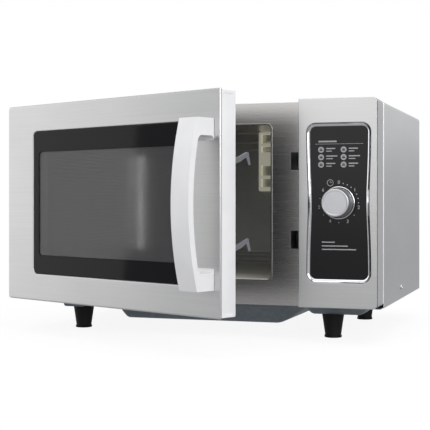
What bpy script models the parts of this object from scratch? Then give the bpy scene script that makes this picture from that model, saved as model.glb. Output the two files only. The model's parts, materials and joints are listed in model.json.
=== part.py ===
"""Countertop commercial microwave oven, modelled as an assembly of separate parts.

Sizes are written in millimetres and turned to metres by MM. They are measured in the oven's own
drawing frame: X from the cabinet's left side, Y back from the closed door's front face, Z up from
the bottom edge of the control fascia. At the end the whole assembly is moved so that the origin
lies on the ground, under the middle of the oven as it stands with its door ajar.
"""

import math

import bmesh
import bpy
from mathutils import Matrix, Vector

MM = 0.001
GAP = 0.3  # air left between two parts that touch

# Cabinet
WIDTH = 511.0
TOP = 266.3  # top of the cabinet's wrapper
FLOOR = -3.1  # underside of the base sheet
SHEET = 0.9  # thickness of the steel sheets
WRAP_FRONT = 51.0  # where the wrapper starts behind the fascia
REAR = 389.7  # outer face of the rear panel
FRAME_Y = 31.5  # front face of the front frame
FRAME_SHEET = 1.0

# Oven cavity, inside faces
CAVITY_X = (30.0, 364.0)
CAVITY_Z = (27.0, 249.0)
CAVITY_BACK = 366.0
MOUTH_TOP = 237.0
LAMP_SLATS = ((158.0, 171.7), (176.6, 193.0), (214.8, 224.4), (229.2, 244.0))
SHELF_TOP = 32.5
SHELF_THICK = 5.0
WELL_DROP = 19.0  # how far the floor drops under the ceramic shelf
ANTENNA = (197.0, 200.0)  # X, Y of the stirrer's axis

# Base sheet: pressed well and foot bosses
WELL_X = (125.0, 420.0)
WELL_Y = (34.0, 352.0)
WELL_DEPTH = 25.0
WELL_SLOPES = (26.0, 56.0, 26.0)  # widths of the left, right and the other two slopes
BOSS_DEPTH = 10.0
BOSS_HALF_Y = 38.0
BOSSES = ((73.4, 22.0, 7.0), (449.0, 46.0, 16.0))  # X, half the width, width of the slope
FOOT_X = (73.4, 439.5)
FOOT_Y = (72.0, 300.0)
FOOT_BOTTOM = -45.6
FOOT_TOP_R = 14.8
FOOT_END_R = 10.7
FOOT_RIM = 0.8

# Door, drawn closed
DOOR_W = 408.7
DOOR_H = 267.8
DOOR_T = 27.8
HINGE = (3.5, 27.5)  # X, Y of the hinge pins
DOOR_ANGLE = 25.0  # how far the door stands open at rest
UPPER_BRACKET = (260.0, 262.0)  # heights of the cabinet's hinge brackets
LOWER_BRACKET = (5.8, 7.8)
UPPER_LUG = (250.0, 258.0)  # heights of the door's hinge lugs
LOWER_LUG = (9.8, 17.8)
LUG_R = 3.4
WINDOW_X = (57.0, 352.0)
WINDOW_Z = (36.5, 231.5)
WINDOW_R = 8.0
CORE_Y = (1.2, 24.0)
CORE_EDGE = 1.3  # the white core sits this far inside the skin's rim
CHOKE_WALL = 4.7
CHOKE_DEPTH = 16.0
LIP_Z = 2.0  # sealing lips, from the ends of the choke cover
LIP_THICK = 1.4

# Door handle
HANDLE_X = (370.5, 399.3)
HANDLE_Z = (33.0, 233.0)
HANDLE_END = 28.4  # how far the handle stands out at its ends
HANDLE_MID = 42.4  # and at its middle
HANDLE_BAR = 8.0
HANDLE_FOOT = 20.5

# Door latch: two hooks on one sliding plate
HOOK_X = (396.0, 399.6)
HOOK_APEX = (195.3, 92.1)  # heights of the two hooks' tops
SLOT_X = (391.8, 405.5)
SLOT_RISE = 5.3  # the slot's top over the hook's apex
SLOT_TALL = 24.0

# Control fascia
FASCIA_X = (409.6, 511.0)
FASCIA_H = 267.8
FASCIA_R = 5.5
PANEL_X = (424.0, 499.5)  # the black overlay that shows
PANEL_Z = (36.5, 232.0)
PANEL_R = 8.0
BEZEL_WIDE = 4.2
BEZEL_DEEP = 3.2
PANEL_WAIST = 2.3  # how far the panel's long sides bow inwards at the knob
KNOB = (461.5, 134.2)  # X, Z of the timer knob's axis
KNOB_R = 17.6
KNOB_FRONT = -20.5
SKIRT_R = 21.0

# Fan and rear vents
FAN = (440.0, 190.0)  # X, Z of the fan's axis
FAN_R = 50.0
VENT_COUNT = 9
VENT_SIZE = (46.0, 3.2)
VENT_STEP = 8.0

STEEL = ((0.60, 0.60, 0.59), 0.36, 1.0)
DARK_STEEL = ((0.20, 0.20, 0.20), 0.32, 1.0)
ZINC = ((0.48, 0.50, 0.51), 0.45, 1.0)
PAN_STEEL = ((0.20, 0.22, 0.24), 0.42, 1.0)
WHITE_PLASTIC = ((0.82, 0.82, 0.83), 0.35, 0.0)
GREY_PLASTIC = ((0.06, 0.06, 0.065), 0.4, 0.0)
SILVER_PLASTIC = ((0.66, 0.66, 0.68), 0.38, 0.3)
BLACK_PLASTIC = ((0.015, 0.015, 0.016), 0.5, 0.0)
BLACK_GLOSS = ((0.02, 0.021, 0.022), 0.15, 0.0)
SMOKED_GLASS = ((0.03, 0.03, 0.032), 0.08, 0.0)
CLEAR_PLASTIC = ((0.75, 0.76, 0.76), 0.1, 0.0)
CHROME = ((0.80, 0.80, 0.81), 0.12, 1.0)
CERAMIC = ((0.66, 0.65, 0.60), 0.3, 0.0)
CREAM_PLASTIC = ((0.62, 0.60, 0.52), 0.45, 0.0)
RUBBER = ((0.02, 0.02, 0.02), 0.75, 0.0)
COPPER = ((0.60, 0.25, 0.12), 0.35, 1.0)
ALUMINIUM = ((0.70, 0.71, 0.72), 0.4, 1.0)
BOARD_GREEN = ((0.03, 0.16, 0.07), 0.5, 0.0)
IRON = ((0.12, 0.12, 0.13), 0.55, 0.8)


def clear_scene():
    """Remove what the file holds before the oven is made."""
    for old in list(bpy.data.objects):
        bpy.data.objects.remove(old, do_unlink=True)


def point(x, y, z):
    """A point in metres from millimetres."""
    return Vector((x, y, z)) * MM


def make_material(name, finish):
    """A Principled material of one colour, roughness and metallic value."""
    colour, roughness, metallic = finish
    material = bpy.data.materials.new(name)
    material.use_nodes = True
    shader = material.node_tree.nodes["Principled BSDF"]
    shader.inputs["Base Color"].default_value = (*colour, 1.0)
    shader.inputs["Roughness"].default_value = roughness
    shader.inputs["Metallic"].default_value = metallic
    return material


def make_pivot(name, at, carrier=None, turn=(0.0, 0.0, 0.0)):
    """An empty on a joint's axis; carrier is the pivot that it moves with."""
    empty = bpy.data.objects.new(name, None)
    PARTS.objects.link(empty)
    empty["at"] = at
    offset = Vector(at)
    if carrier is not None:
        empty.parent = carrier
        offset = offset - Vector(carrier["at"])
    empty.location = offset * MM
    empty.rotation_euler = turn
    return empty


def finish_part(part, finish, pivot, smooth=None):
    """Give a part its material and hang it on the pivot that carries it."""
    part.data.materials.clear()
    part.data.materials.append(make_material(part.name, finish))
    if smooth is not None:
        part.data.shade_smooth()
        part.data.set_sharp_from_angle(angle=math.radians(smooth))
    part.parent = pivot
    part.location = Vector(pivot["at"]) * -MM
    return part


def from_bmesh(name, bm):
    """A new object in the parts collection from a bmesh."""
    bmesh.ops.recalc_face_normals(bm, faces=bm.faces[:])
    mesh = bpy.data.meshes.new(name)
    bm.to_mesh(mesh)
    bm.free()
    part = bpy.data.objects.new(name, mesh)
    PARTS.objects.link(part)
    return part


def bake(part):
    """Turn a part's modifiers into plain mesh."""
    bpy.context.view_layer.update()
    graph = bpy.context.evaluated_depsgraph_get()
    mesh = bpy.data.meshes.new_from_object(part.evaluated_get(graph))
    old = part.data
    part.modifiers.clear()
    part.data = mesh
    bpy.data.meshes.remove(old)
    mesh.name = part.name


def carve(part, tool, operation="DIFFERENCE"):
    """Cut the tool out of the part, or join it on, and drop the tool."""
    step = part.modifiers.new("carve", "BOOLEAN")
    step.operation = operation
    step.solver = "EXACT"
    step.object = tool
    bake(part)
    bpy.data.objects.remove(tool, do_unlink=True)


def soften(part, width, segments=2):
    """Round a part's sharp edges."""
    step = part.modifiers.new("soften", "BEVEL")
    step.width = width * MM
    step.segments = segments
    step.limit_method = "ANGLE"
    step.angle_limit = math.radians(40)
    bake(part)


def box(name, low, high):
    """A block between two corners."""
    bm = bmesh.new()
    size = [b - a for a, b in zip(low, high)]
    middle = [(a + b) / 2 for a, b in zip(low, high)]
    place = Matrix.Translation(point(*middle)) @ Matrix.Diagonal((*(s * MM for s in size), 1.0))
    bmesh.ops.create_cube(bm, size=1.0, matrix=place)
    return from_bmesh(name, bm)


TURN = {
    "X": Matrix.Rotation(math.radians(90), 4, "Y"),
    "Y": Matrix.Rotation(math.radians(-90), 4, "X"),
    "Z": Matrix.Identity(4),
}


def rod(name, axis, start, length, radius, end_radius=None, segments=24):
    """A cylinder or cone that runs along an axis from its start point."""
    bm = bmesh.new()
    lift = Matrix.Translation((0, 0, length * MM / 2))
    place = Matrix.Translation(point(*start)) @ TURN[axis] @ lift
    far = radius if end_radius is None else end_radius
    bmesh.ops.create_cone(
        bm, cap_ends=True, segments=segments, radius1=radius * MM, radius2=far * MM,
        depth=length * MM, matrix=place,
    )
    return from_bmesh(name, bm)


def turned(name, axis, at, profile, steps=32):
    """A turned part: (radius, height) points down its outer side, spun about an axis."""
    mesh = bpy.data.meshes.new(name)
    verts = [(r * MM, 0.0, h * MM) for r, h in profile]
    mesh.from_pydata(verts, [(i, i + 1) for i in range(len(verts) - 1)], [])
    part = bpy.data.objects.new(name, mesh)
    PARTS.objects.link(part)
    spin = part.modifiers.new("spin", "SCREW")
    spin.steps = steps
    spin.render_steps = steps
    spin.use_merge_vertices = True
    spin.merge_threshold = 0.00001
    bake(part)
    part.data.transform(Matrix.Translation(point(*at)) @ TURN[axis])
    bm = bmesh.new()
    bm.from_mesh(part.data)
    bmesh.ops.recalc_face_normals(bm, faces=bm.faces[:])
    bm.to_mesh(part.data)
    bm.free()
    return part


def arc(centre, radius, start, end, steps):
    """Points along an arc, angles in degrees."""
    found = []
    for i in range(steps + 1):
        angle = math.radians(start + (end - start) * i / steps)
        found.append((centre[0] + radius * math.cos(angle), centre[1] + radius * math.sin(angle)))
    return found


def round_rect(low, high, radius, steps=4):
    """A rectangle's outline; radius is one number, or four from the low corner round."""
    radii = radius if isinstance(radius, tuple) else (radius,) * 4
    corners = [
        (low[0] + radii[0], low[1] + radii[0], 180, 270),
        (high[0] - radii[1], low[1] + radii[1], 270, 360),
        (high[0] - radii[2], high[1] - radii[2], 0, 90),
        (low[0] + radii[3], high[1] - radii[3], 90, 180),
    ]
    outline = []
    for r, (a, b, start, end) in zip(radii, corners):
        outline += arc((a, b), r, start, end, steps)
    return outline


def circle(centre, radius, steps=24):
    """A round outline."""
    return arc(centre, radius, 0, 360, steps)[:-1]


PLANE = {
    "XY": (lambda a, b, c: (a, b, c), (0, 0, 1)),
    "XZ": (lambda a, b, c: (a, c, b), (0, 1, 0)),
    "YZ": (lambda a, b, c: (c, a, b), (1, 0, 0)),
}


def plate(name, plane, outline, span, holes=()):
    """A flat outline with holes, drawn in a plane and thickened from span[0] to span[1]."""
    place, normal = PLANE[plane]
    bm = bmesh.new()
    for loop in (outline, *holes):
        ring = [bm.verts.new(point(*place(a, b, span[0]))) for a, b in loop]
        for one, other in zip(ring, ring[1:] + ring[:1]):
            bm.edges.new((one, other))
    bmesh.ops.triangle_fill(bm, use_beauty=True, use_dissolve=False, edges=bm.edges[:])
    lifted = bmesh.ops.extrude_face_region(bm, geom=bm.faces[:])["geom"]
    moved = [v for v in lifted if isinstance(v, bmesh.types.BMVert)]
    bmesh.ops.translate(bm, vec=point(*normal) * (span[1] - span[0]), verts=moved)
    return from_bmesh(name, bm)


def ring_loft(name, rings):
    """A closed frame from rings of matching points, the last joined back to the first."""
    bm = bmesh.new()
    rows = [[bm.verts.new(point(*p)) for p in ring] for ring in rings]
    for row, other in zip(rows, rows[1:] + rows[:1]):
        for i in range(len(row)):
            j = (i + 1) % len(row)
            bm.faces.new((row[i], row[j], other[j], other[i]))
    return from_bmesh(name, bm)


def ease(t):
    """A smooth step from 0 to 1."""
    t = min(max(t, 0.0), 1.0)
    return t * t * (3 - 2 * t)


def slope_lines(low, high, first, last):
    """Grid lines at both pressed slopes of a feature."""
    parts = (0.0, 1 / 3, 2 / 3, 1.0)
    return [low + first * p for p in parts] + [high - last * p for p in parts]


# ---------------------------------------------------------------- cabinet


def make_wrapper():
    """One folded sheet: left side, top and right side, with small bends at the top."""
    bend = 4.0
    profile = [(0.0, FLOOR), *reversed(arc((bend, TOP - bend), bend, 90, 180, 3))]
    profile += [*reversed(arc((WIDTH - bend, TOP - bend), bend, 0, 90, 3)), (WIDTH, FLOOR)]
    bm = bmesh.new()
    front = [bm.verts.new(point(x, WRAP_FRONT, z)) for x, z in profile]
    back = [bm.verts.new(point(x, REAR - 1.3, z)) for x, z in profile]
    for i in range(len(profile) - 1):
        bm.faces.new((front[i], front[i + 1], back[i + 1], back[i]))
    mesh = bpy.data.meshes.new("outer_wrapper")
    bm.to_mesh(mesh)
    bm.free()
    part = bpy.data.objects.new("outer_wrapper", mesh)
    PARTS.objects.link(part)
    wall = part.modifiers.new("wall", "SOLIDIFY")
    wall.thickness = SHEET * MM
    wall.offset = 1.0 if mesh.polygons[0].normal.x > 0 else -1.0
    bake(part)
    return finish_part(part, STEEL, BODY, smooth=40)


def base_height(x, y):
    """How far the base sheet is pressed down at a place."""
    presses = [(WELL_X, WELL_Y, WELL_DEPTH, WELL_SLOPES)]
    for bx, half, slope in BOSSES:
        for by in FOOT_Y:
            across = (bx - half, bx + half)
            along = (by - BOSS_HALF_Y, by + BOSS_HALF_Y)
            presses.append((across, along, BOSS_DEPTH, (slope, slope, slope)))
    drop = 0.0
    for (x0, x1), (y0, y1), depth, (left, right, other) in presses:
        inside = min((x - x0) / left, (x1 - x) / right, (y - y0) / other, (y1 - y) / other)
        drop = max(drop, depth * ease(inside))
    return drop


def make_base_pan():
    """The bottom sheet, with a pressed well under the cavity and a boss for each foot."""
    xs = {1.3, WIDTH - 1.3}
    ys = {33.0, REAR - 1.3}
    xs.update(slope_lines(*WELL_X, *WELL_SLOPES[:2]))
    ys.update(slope_lines(*WELL_Y, WELL_SLOPES[2], WELL_SLOPES[2]))
    for bx, half, slope in BOSSES:
        xs.update(slope_lines(bx - half, bx + half, slope, slope))
        for by in FOOT_Y:
            ys.update(slope_lines(by - BOSS_HALF_Y, by + BOSS_HALF_Y, slope, slope))
    xs = sorted(x for x in xs if 1.3 <= x <= WIDTH - 1.3)
    ys = sorted(y for y in ys if 33.0 <= y <= REAR - 1.3)
    bm = bmesh.new()
    rows = [[bm.verts.new(point(x, y, FLOOR + 1.0 - base_height(x, y))) for x in xs] for y in ys]
    for row, other in zip(rows, rows[1:]):
        for i in range(len(xs) - 1):
            bm.faces.new((row[i], row[i + 1], other[i + 1], other[i]))
    mesh = bpy.data.meshes.new("base_pan")
    bm.to_mesh(mesh)
    bm.free()
    part = bpy.data.objects.new("base_pan", mesh)
    PARTS.objects.link(part)
    wall = part.modifiers.new("wall", "SOLIDIFY")
    wall.thickness = 1.0 * MM
    wall.offset = -1.0
    bake(part)
    return finish_part(part, PAN_STEEL, BODY, smooth=40)


def make_rear_panel():
    """The rear sheet, with two stacks of vent slots and a round cord inlet."""
    outline = round_rect((1.2, FLOOR + 0.2), (WIDTH - 1.2, TOP - 1.2), (1.0, 1.0, 4.0, 4.0), 3)
    holes = [circle((440.0, 40.0), 9.0, 20)]
    for column in (FAN[0], 120.0):
        for i in range(VENT_COUNT):
            z = FAN[1] + (i - (VENT_COUNT - 1) / 2) * VENT_STEP
            low = (column - VENT_SIZE[0] / 2, z - VENT_SIZE[1] / 2)
            high = (column + VENT_SIZE[0] / 2, z + VENT_SIZE[1] / 2)
            holes.append(round_rect(low, high, VENT_SIZE[1] / 2 - 0.05, 2))
    part = plate("rear_panel", "XZ", outline, (REAR - 1.0, REAR), holes)
    return finish_part(part, ZINC, BODY)


def make_front_frame():
    """The plate behind the door, with the cavity's mouth, two latch slots and folded edges."""
    right = FASCIA_X[0] - 0.7
    outline = [(0.2, FLOOR + 1.4), (right, FLOOR + 1.4), (right, 3.0), (507.5, 3.0),
               (507.5, 264.0), (right, 264.0), (right, TOP), (4.2, TOP), (1.4, TOP - 1.2),
               (0.2, TOP - 4.0)]
    holes = [
        round_rect((CAVITY_X[0], SHELF_TOP - 0.5), (CAVITY_X[1], MOUTH_TOP), 5.5),
        round_rect((418.0, 12.0), (504.0, 255.0), 4.0, 3),
    ]
    for apex in HOOK_APEX:
        top = apex + SLOT_RISE
        holes.append(round_rect((SLOT_X[0], top - SLOT_TALL), (SLOT_X[1], top), 0.8, 2))
    part = plate("front_frame", "XZ", outline, (FRAME_Y, FRAME_Y + FRAME_SHEET), holes)
    t = FRAME_SHEET
    fold = [(0.2, FLOOR + 1.4), (right, FLOOR + 1.4), (right, FLOOR + 1.4 + t),
            (0.2 + t, FLOOR + 1.4 + t), (0.2 + t, TOP - 4.0 - 0.4 * t), (4.6, TOP - t),
            (right, TOP - t), (right, TOP), (4.2, TOP), (1.4, TOP - 1.2), (0.2, TOP - 4.0)]
    carve(part, plate("fold", "XZ", fold, (FRAME_Y, WRAP_FRONT - GAP)), "UNION")
    return finish_part(part, STEEL, BODY)


def make_cavity_liner():
    """The oven box, open to the front, with a ledge and a well under the ceramic shelf."""
    bm = bmesh.new()
    front = FRAME_Y + FRAME_SHEET + GAP
    low = (CAVITY_X[0], front, CAVITY_Z[0])
    high = (CAVITY_X[1], CAVITY_BACK, CAVITY_Z[1])
    size = [(b - a) * MM for a, b in zip(low, high)]
    middle = [(a + b) / 2 for a, b in zip(low, high)]
    place = Matrix.Translation(point(*middle)) @ Matrix.Diagonal((*size, 1.0))
    bmesh.ops.create_cube(bm, size=1.0, matrix=place)
    bm.normal_update()
    mouth = [f for f in bm.faces if f.normal.y < -0.9]
    bmesh.ops.delete(bm, geom=mouth, context="FACES_ONLY")
    floor = [f for f in bm.faces if f.normal.z < -0.9]
    bmesh.ops.inset_region(bm, faces=floor, thickness=18.0 * MM, use_even_offset=True,
                           use_boundary=True)
    bmesh.ops.inset_region(bm, faces=floor, thickness=5.0 * MM, use_even_offset=True)
    bmesh.ops.translate(bm, vec=point(0, 0, -WELL_DROP), verts=list(floor[0].verts))
    mesh = bpy.data.meshes.new("cavity_liner")
    bm.to_mesh(mesh)
    bm.free()
    part = bpy.data.objects.new("cavity_liner", mesh)
    PARTS.objects.link(part)
    wall = part.modifiers.new("wall", "SOLIDIFY")
    wall.thickness = 0.8 * MM
    wall.offset = 1.0
    bake(part)
    carve(part, rod("hole", "Z", (*ANTENNA, 0.0), 20.0, 12.0))
    return finish_part(part, DARK_STEEL, BODY)


def make_ceramic_shelf():
    """The flat ceramic plate that food stands on; it rests on the liner's ledge."""
    front = FRAME_Y + FRAME_SHEET + 1.5
    low = (CAVITY_X[0] + 0.5, front)
    high = (CAVITY_X[1] - 0.5, CAVITY_BACK - 0.6)
    outline = round_rect(low, high, 4.0)
    part = plate("ceramic_shelf", "XY", outline, (SHELF_TOP - SHELF_THICK, SHELF_TOP))
    return finish_part(part, CERAMIC, BODY)


def make_lamp_cover():
    """A slatted cover over the lamp and air inlet, with a solid patch in front of the bulb."""
    low, high = (255.0, 151.5), (346.0, 247.5)
    rail = 3.4
    holes = []
    for bottom, top in LAMP_SLATS:
        holes.append(round_rect((low[0] + rail, bottom), (high[0] - rail, top), 1.0, 2))
    depth = (CAVITY_BACK - GAP - 13.0, CAVITY_BACK - GAP)
    part = plate("lamp_cover", "XZ", round_rect(low, high, 2.0, 3), depth, holes)
    return finish_part(part, CREAM_PLASTIC, BODY)


def make_feet():
    """Four tapered feet, each under its pressed boss."""
    top = FLOOR - BOSS_DEPTH - GAP
    rim = FOOT_END_R + FOOT_RIM
    profile = [(0, top), (FOOT_TOP_R, top), (FOOT_END_R, FOOT_BOTTOM + 3.4),
               (rim, FOOT_BOTTOM + 2.4), (rim, FOOT_BOTTOM), (0, FOOT_BOTTOM)]
    for side, x in zip(("left", "right"), FOOT_X):
        for end, y in zip(("front", "rear"), FOOT_Y):
            foot = turned(f"foot_{end}_{side}", "Z", (x, y, 0), profile, 24)
            finish_part(foot, RUBBER, BODY, smooth=35)


def make_hinges():
    """Two hinge brackets on the front frame, each with its own pin."""
    for name, level, pin_low in (("upper", UPPER_BRACKET, 252.0), ("lower", LOWER_BRACKET, 5.9)):
        outline = [*arc(HINGE, 3.2, 180, 360, 8), (HINGE[0] + 3.2, FRAME_Y - GAP),
                   (HINGE[0] - 3.2, FRAME_Y - GAP)]
        bracket = plate(f"{name}_hinge_bracket", "XY", outline, level, [circle(HINGE, 1.9, 16)])
        finish_part(bracket, ZINC, BODY)
        pin = rod(f"{name}_hinge_pin", "Z", (*HINGE, pin_low), 10.0, 1.6, segments=16)
        finish_part(pin, STEEL, BODY, smooth=35)


def make_rear_fittings():
    """The cord inlet's grommet in the rear panel, and the screw low on the right side."""
    profile = [(11.5, REAR + 2.0), (12.0, REAR + 1.4), (12.0, REAR + GAP), (8.7, REAR + GAP),
               (8.7, REAR - 3.0), (5.0, REAR - 3.0), (5.0, REAR + 2.0), (11.5, REAR + 2.0)]
    shifted = [(r, h - REAR) for r, h in profile]
    grommet = turned("cord_grommet", "Y", (440.0, REAR, 40.0), shifted, 24)
    finish_part(grommet, RUBBER, BODY, smooth=35)
    head = [(0, 1.6), (2.2, 1.3), (3.4, 0.4), (3.4, 0.0), (0, 0.0)]
    screw = turned("side_screw", "X", (WIDTH + 0.1, 197.0, 13.5), head, 16)
    finish_part(screw, STEEL, BODY, smooth=35)


# ---------------------------------------------------------------- control fascia


def waisted_outline(grow, steps=12):
    """The panel's outline: a rounded rectangle whose long sides bow inwards at the knob."""
    low = (PANEL_X[0] - grow, PANEL_Z[0] - grow)
    high = (PANEL_X[1] + grow, PANEL_Z[1] + grow)
    radius = PANEL_R + grow
    corners = round_rect(low, high, radius, 5)
    groups = [corners[i:i + 6] for i in range(0, 24, 6)]
    reach = PANEL_Z[1] - PANEL_Z[0] - 2 * PANEL_R

    def waist(z):
        return PANEL_WAIST * math.exp(-(((z - KNOB[1]) / (0.26 * reach)) ** 2))

    right = []
    left = []
    for i in range(1, steps):
        z = low[1] + radius + (high[1] - low[1] - 2 * radius) * i / steps
        right.append((high[0] - waist(z), z))
        left.append((low[0] + waist(z), z))
    return groups[0] + groups[1] + right + groups[2] + groups[3] + left[::-1]


def make_fascia():
    """The stainless fascia, its housing, the bright bezel and the black overlay."""
    outline = round_rect((FASCIA_X[0], 0.0), (FASCIA_X[1], FASCIA_H), (1.0, FASCIA_R, FASCIA_R, 1.0))
    opening = waisted_outline(BEZEL_WIDE)
    finish_part(plate("fascia_plate", "XZ", outline, (0.0, 1.0), [opening]), STEEL, BODY)

    y0, y1 = 1.0 + GAP, WRAP_FRONT - GAP
    low, high = (FASCIA_X[0] + 0.3, 0.3), (FASCIA_X[1] - 0.3, FASCIA_H - 0.3)
    shell = plate("fascia_housing", "XZ", round_rect(low, high, (1.0, 5.2, 5.2, 1.0)), (y0, y1))
    inside = round_rect((low[0] + 2.0, low[1] + 2.0), (high[0] - 2.0, high[1] - 2.0), 3.0)
    carve(shell, plate("inside", "XZ", inside, (y0 + 2.0, y1 + 5.0)))
    window = round_rect((PANEL_X[0] - 7.0, PANEL_Z[0] - 7.0), (PANEL_X[1] + 6.5, PANEL_Z[1] + 7.0), 12.0)
    carve(shell, plate("window", "XZ", window, (y0 - 1.0, y0 + 3.0)))
    behind_left = box("clear", (low[0] - 1.0, FRAME_Y - GAP, -5.0), (low[0] + 3.0, y1 + 5.0, 275.0))
    carve(shell, behind_left)
    finish_part(shell, SILVER_PLASTIC, BODY, smooth=35)

    outer = waisted_outline(BEZEL_WIDE - GAP)
    inner = waisted_outline(0.0)
    rings = [[(x, 0.1, z) for x, z in outer], [(x, BEZEL_DEEP, z) for x, z in inner],
             [(x, BEZEL_DEEP + 1.0, z) for x, z in inner], [(x, BEZEL_DEEP + 1.0, z) for x, z in outer]]
    finish_part(ring_loft("panel_bezel", rings), CHROME, BODY, smooth=50)

    face = BEZEL_DEEP + 1.0 + GAP
    sheet = round_rect((PANEL_X[0] - 4, PANEL_Z[0] - 4), (PANEL_X[1] + 4, PANEL_Z[1] + 4), 11.0)
    overlay = plate("control_overlay", "XZ", sheet, (face, face + 1.5), [circle(KNOB, 5.0, 20)])
    finish_part(overlay, BLACK_GLOSS, BODY)


def make_timer():
    """The timer behind the overlay, and the knob, its skirt and spindle that turn."""
    face = BEZEL_DEEP + 1.0
    axis = make_pivot("timer_axis", (KNOB[0], 0.0, KNOB[1]), BODY)
    centre = (KNOB[0], 0.0, KNOB[1])
    skirt = [(3.4, face - 2.6), (SKIRT_R - 1.2, face - 2.6), (SKIRT_R, face - 1.6), (SKIRT_R, face - GAP),
             (3.4, face - GAP), (3.4, face - 2.6)]
    finish_part(turned("knob_skirt", "Y", centre, skirt[::-1], 40), CHROME, axis, smooth=40)
    back = face - 2.6 - GAP
    knob = [(0, KNOB_FRONT + 0.6), (KNOB_R - 2.6, KNOB_FRONT + 0.6), (KNOB_R - 2.0, KNOB_FRONT),
            (KNOB_R - 0.8, KNOB_FRONT), (KNOB_R, KNOB_FRONT + 1.0), (KNOB_R + 1.2, back),
            (3.4, back), (3.4, -12.0), (0, -12.0)]
    finish_part(turned("timer_knob", "Y", centre, knob[::-1], 40), SILVER_PLASTIC, axis, smooth=40)
    spindle = rod("timer_spindle", "Y", (KNOB[0], -11.6, KNOB[1]), 39.0, 3.0, segments=20)
    finish_part(spindle, STEEL, axis, smooth=35)

    body = box("timer_body", (440.0, 22.2, 112.0), (483.0, 62.0, 156.0))
    soften(body, 2.0)
    carve(body, rod("bore", "Y", (KNOB[0], 20.0, KNOB[1]), 9.0, 3.5, segments=20))
    finish_part(body, BLACK_PLASTIC, BODY)
    board = round_rect((426.0, 62.0), (497.0, 208.0), 2.0, 2)
    hole = circle(KNOB, 8.0, 20)
    finish_part(plate("control_board", "XZ", board, (19.0, 20.6), [hole]), BOARD_GREEN, BODY)


# ---------------------------------------------------------------- door


def make_door_skin(hinge):
    """The stainless door face with its window opening and a narrow folded rim."""
    corner = (4.5, 1.5, 1.5, 4.5)
    outline = round_rect((0.0, 0.0), (DOOR_W, DOOR_H), corner)
    window = round_rect((WINDOW_X[0], WINDOW_Z[0]), (WINDOW_X[1], WINDOW_Z[1]), WINDOW_R)
    skin = plate("door_skin", "XZ", outline, (0.0, 0.9), [window])
    inner = round_rect((1.0, 1.0), (DOOR_W - 1.0, DOOR_H - 1.0), (3.5, 0.5, 0.5, 3.5))
    carve(skin, plate("rim", "XZ", outline, (0.0, 2.6), [inner]), "UNION")
    return finish_part(skin, STEEL, hinge)


def cut_hinge_room(part):
    """Clear the door's inner corners for the lugs, and for the brackets to swing through."""
    for z0, z1 in ((UPPER_LUG[0], 275.0), (-5.0, LOWER_LUG[1])):
        low = (-2.0, HINGE[1] - 8.0, z0 - GAP)
        carve(part, box("bracket_room", low, (HINGE[0] + 5.0, DOOR_T + 6.0, z1 + GAP)))
    for z0, z1 in (UPPER_LUG, LOWER_LUG):
        carve(part, box("lug_room", (-2.0, 13.7, z0 - GAP), (18.3, DOOR_T + 6.0, z1 + GAP)))


def make_hinge_lugs(hinge):
    """The door's two hinge lugs, each with the bore that its pin turns in."""
    for name, level in (("upper", UPPER_LUG), ("lower", LOWER_LUG)):
        outline = [(1.6, 14.0), (18.0, 14.0), (18.0, DOOR_T - 0.2), (HINGE[0] + LUG_R, DOOR_T - 0.2),
                   *arc(HINGE, LUG_R, 0, 180, 8), (HINGE[0] - LUG_R, 20.0), (1.6, 18.0)]
        lug = plate(f"{name}_door_lug", "XY", outline, level, [circle(HINGE, 1.9, 16)])
        finish_part(lug, ZINC, hinge)


def make_door_core(hinge):
    """The white door body: window opening, glass rebate and the choke channel at its back."""
    low, high = CORE_EDGE, DOOR_W - CORE_EDGE
    outline = round_rect((low, low), (high, DOOR_H - low), (3.2, 0.6, 0.6, 3.2))
    window = round_rect((WINDOW_X[0] + 3, WINDOW_Z[0] + 3), (WINDOW_X[1] - 3, WINDOW_Z[1] - 3), 6.0)
    core = plate("door_core", "XZ", outline, CORE_Y, [window])
    rebate = round_rect((WINDOW_X[0] - 1, WINDOW_Z[0] - 1), (WINDOW_X[1] + 1, WINDOW_Z[1] + 1), 8.5)
    carve(core, plate("rebate", "XZ", rebate, (0.0, 5.2)))
    channel = round_rect((low + CHOKE_WALL, low + CHOKE_WALL),
                         (high - CHOKE_WALL, DOOR_H - low - CHOKE_WALL), 2.0, 2)
    island = round_rect((WINDOW_X[0] - 2, WINDOW_Z[0] - 2), (WINDOW_X[1] + 2, WINDOW_Z[1] + 2), 8.0)
    carve(core, plate("channel", "XZ", channel, (CORE_Y[1] - CHOKE_DEPTH, CORE_Y[1] + 4.0), [island]))
    cut_hinge_room(core)
    return finish_part(core, WHITE_PLASTIC, hinge)


def make_door_panes(hinge):
    """The dark glass, the perforated screen behind it and the clear inner film."""
    low = (WINDOW_X[0] + 0.4, WINDOW_Z[0] + 0.4)
    high = (WINDOW_X[1] - 0.4, WINDOW_Z[1] - 0.4)
    glass = plate("door_window", "XZ", round_rect(low, high, WINDOW_R - 0.4), (0.3, 3.7))
    finish_part(glass, SMOKED_GLASS, hinge)
    screen = plate("window_screen", "XZ", round_rect(low, high, WINDOW_R - 0.4), (4.1, 4.9))
    finish_part(screen, IRON, hinge)
    low = (WINDOW_X[0] + 3.4, WINDOW_Z[0] + 3.4)
    high = (WINDOW_X[1] - 3.4, WINDOW_Z[1] - 3.4)
    film = plate("inner_film", "XZ", round_rect(low, high, 5.6), (22.4, 23.4))
    finish_part(film, CLEAR_PLASTIC, hinge)


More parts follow.
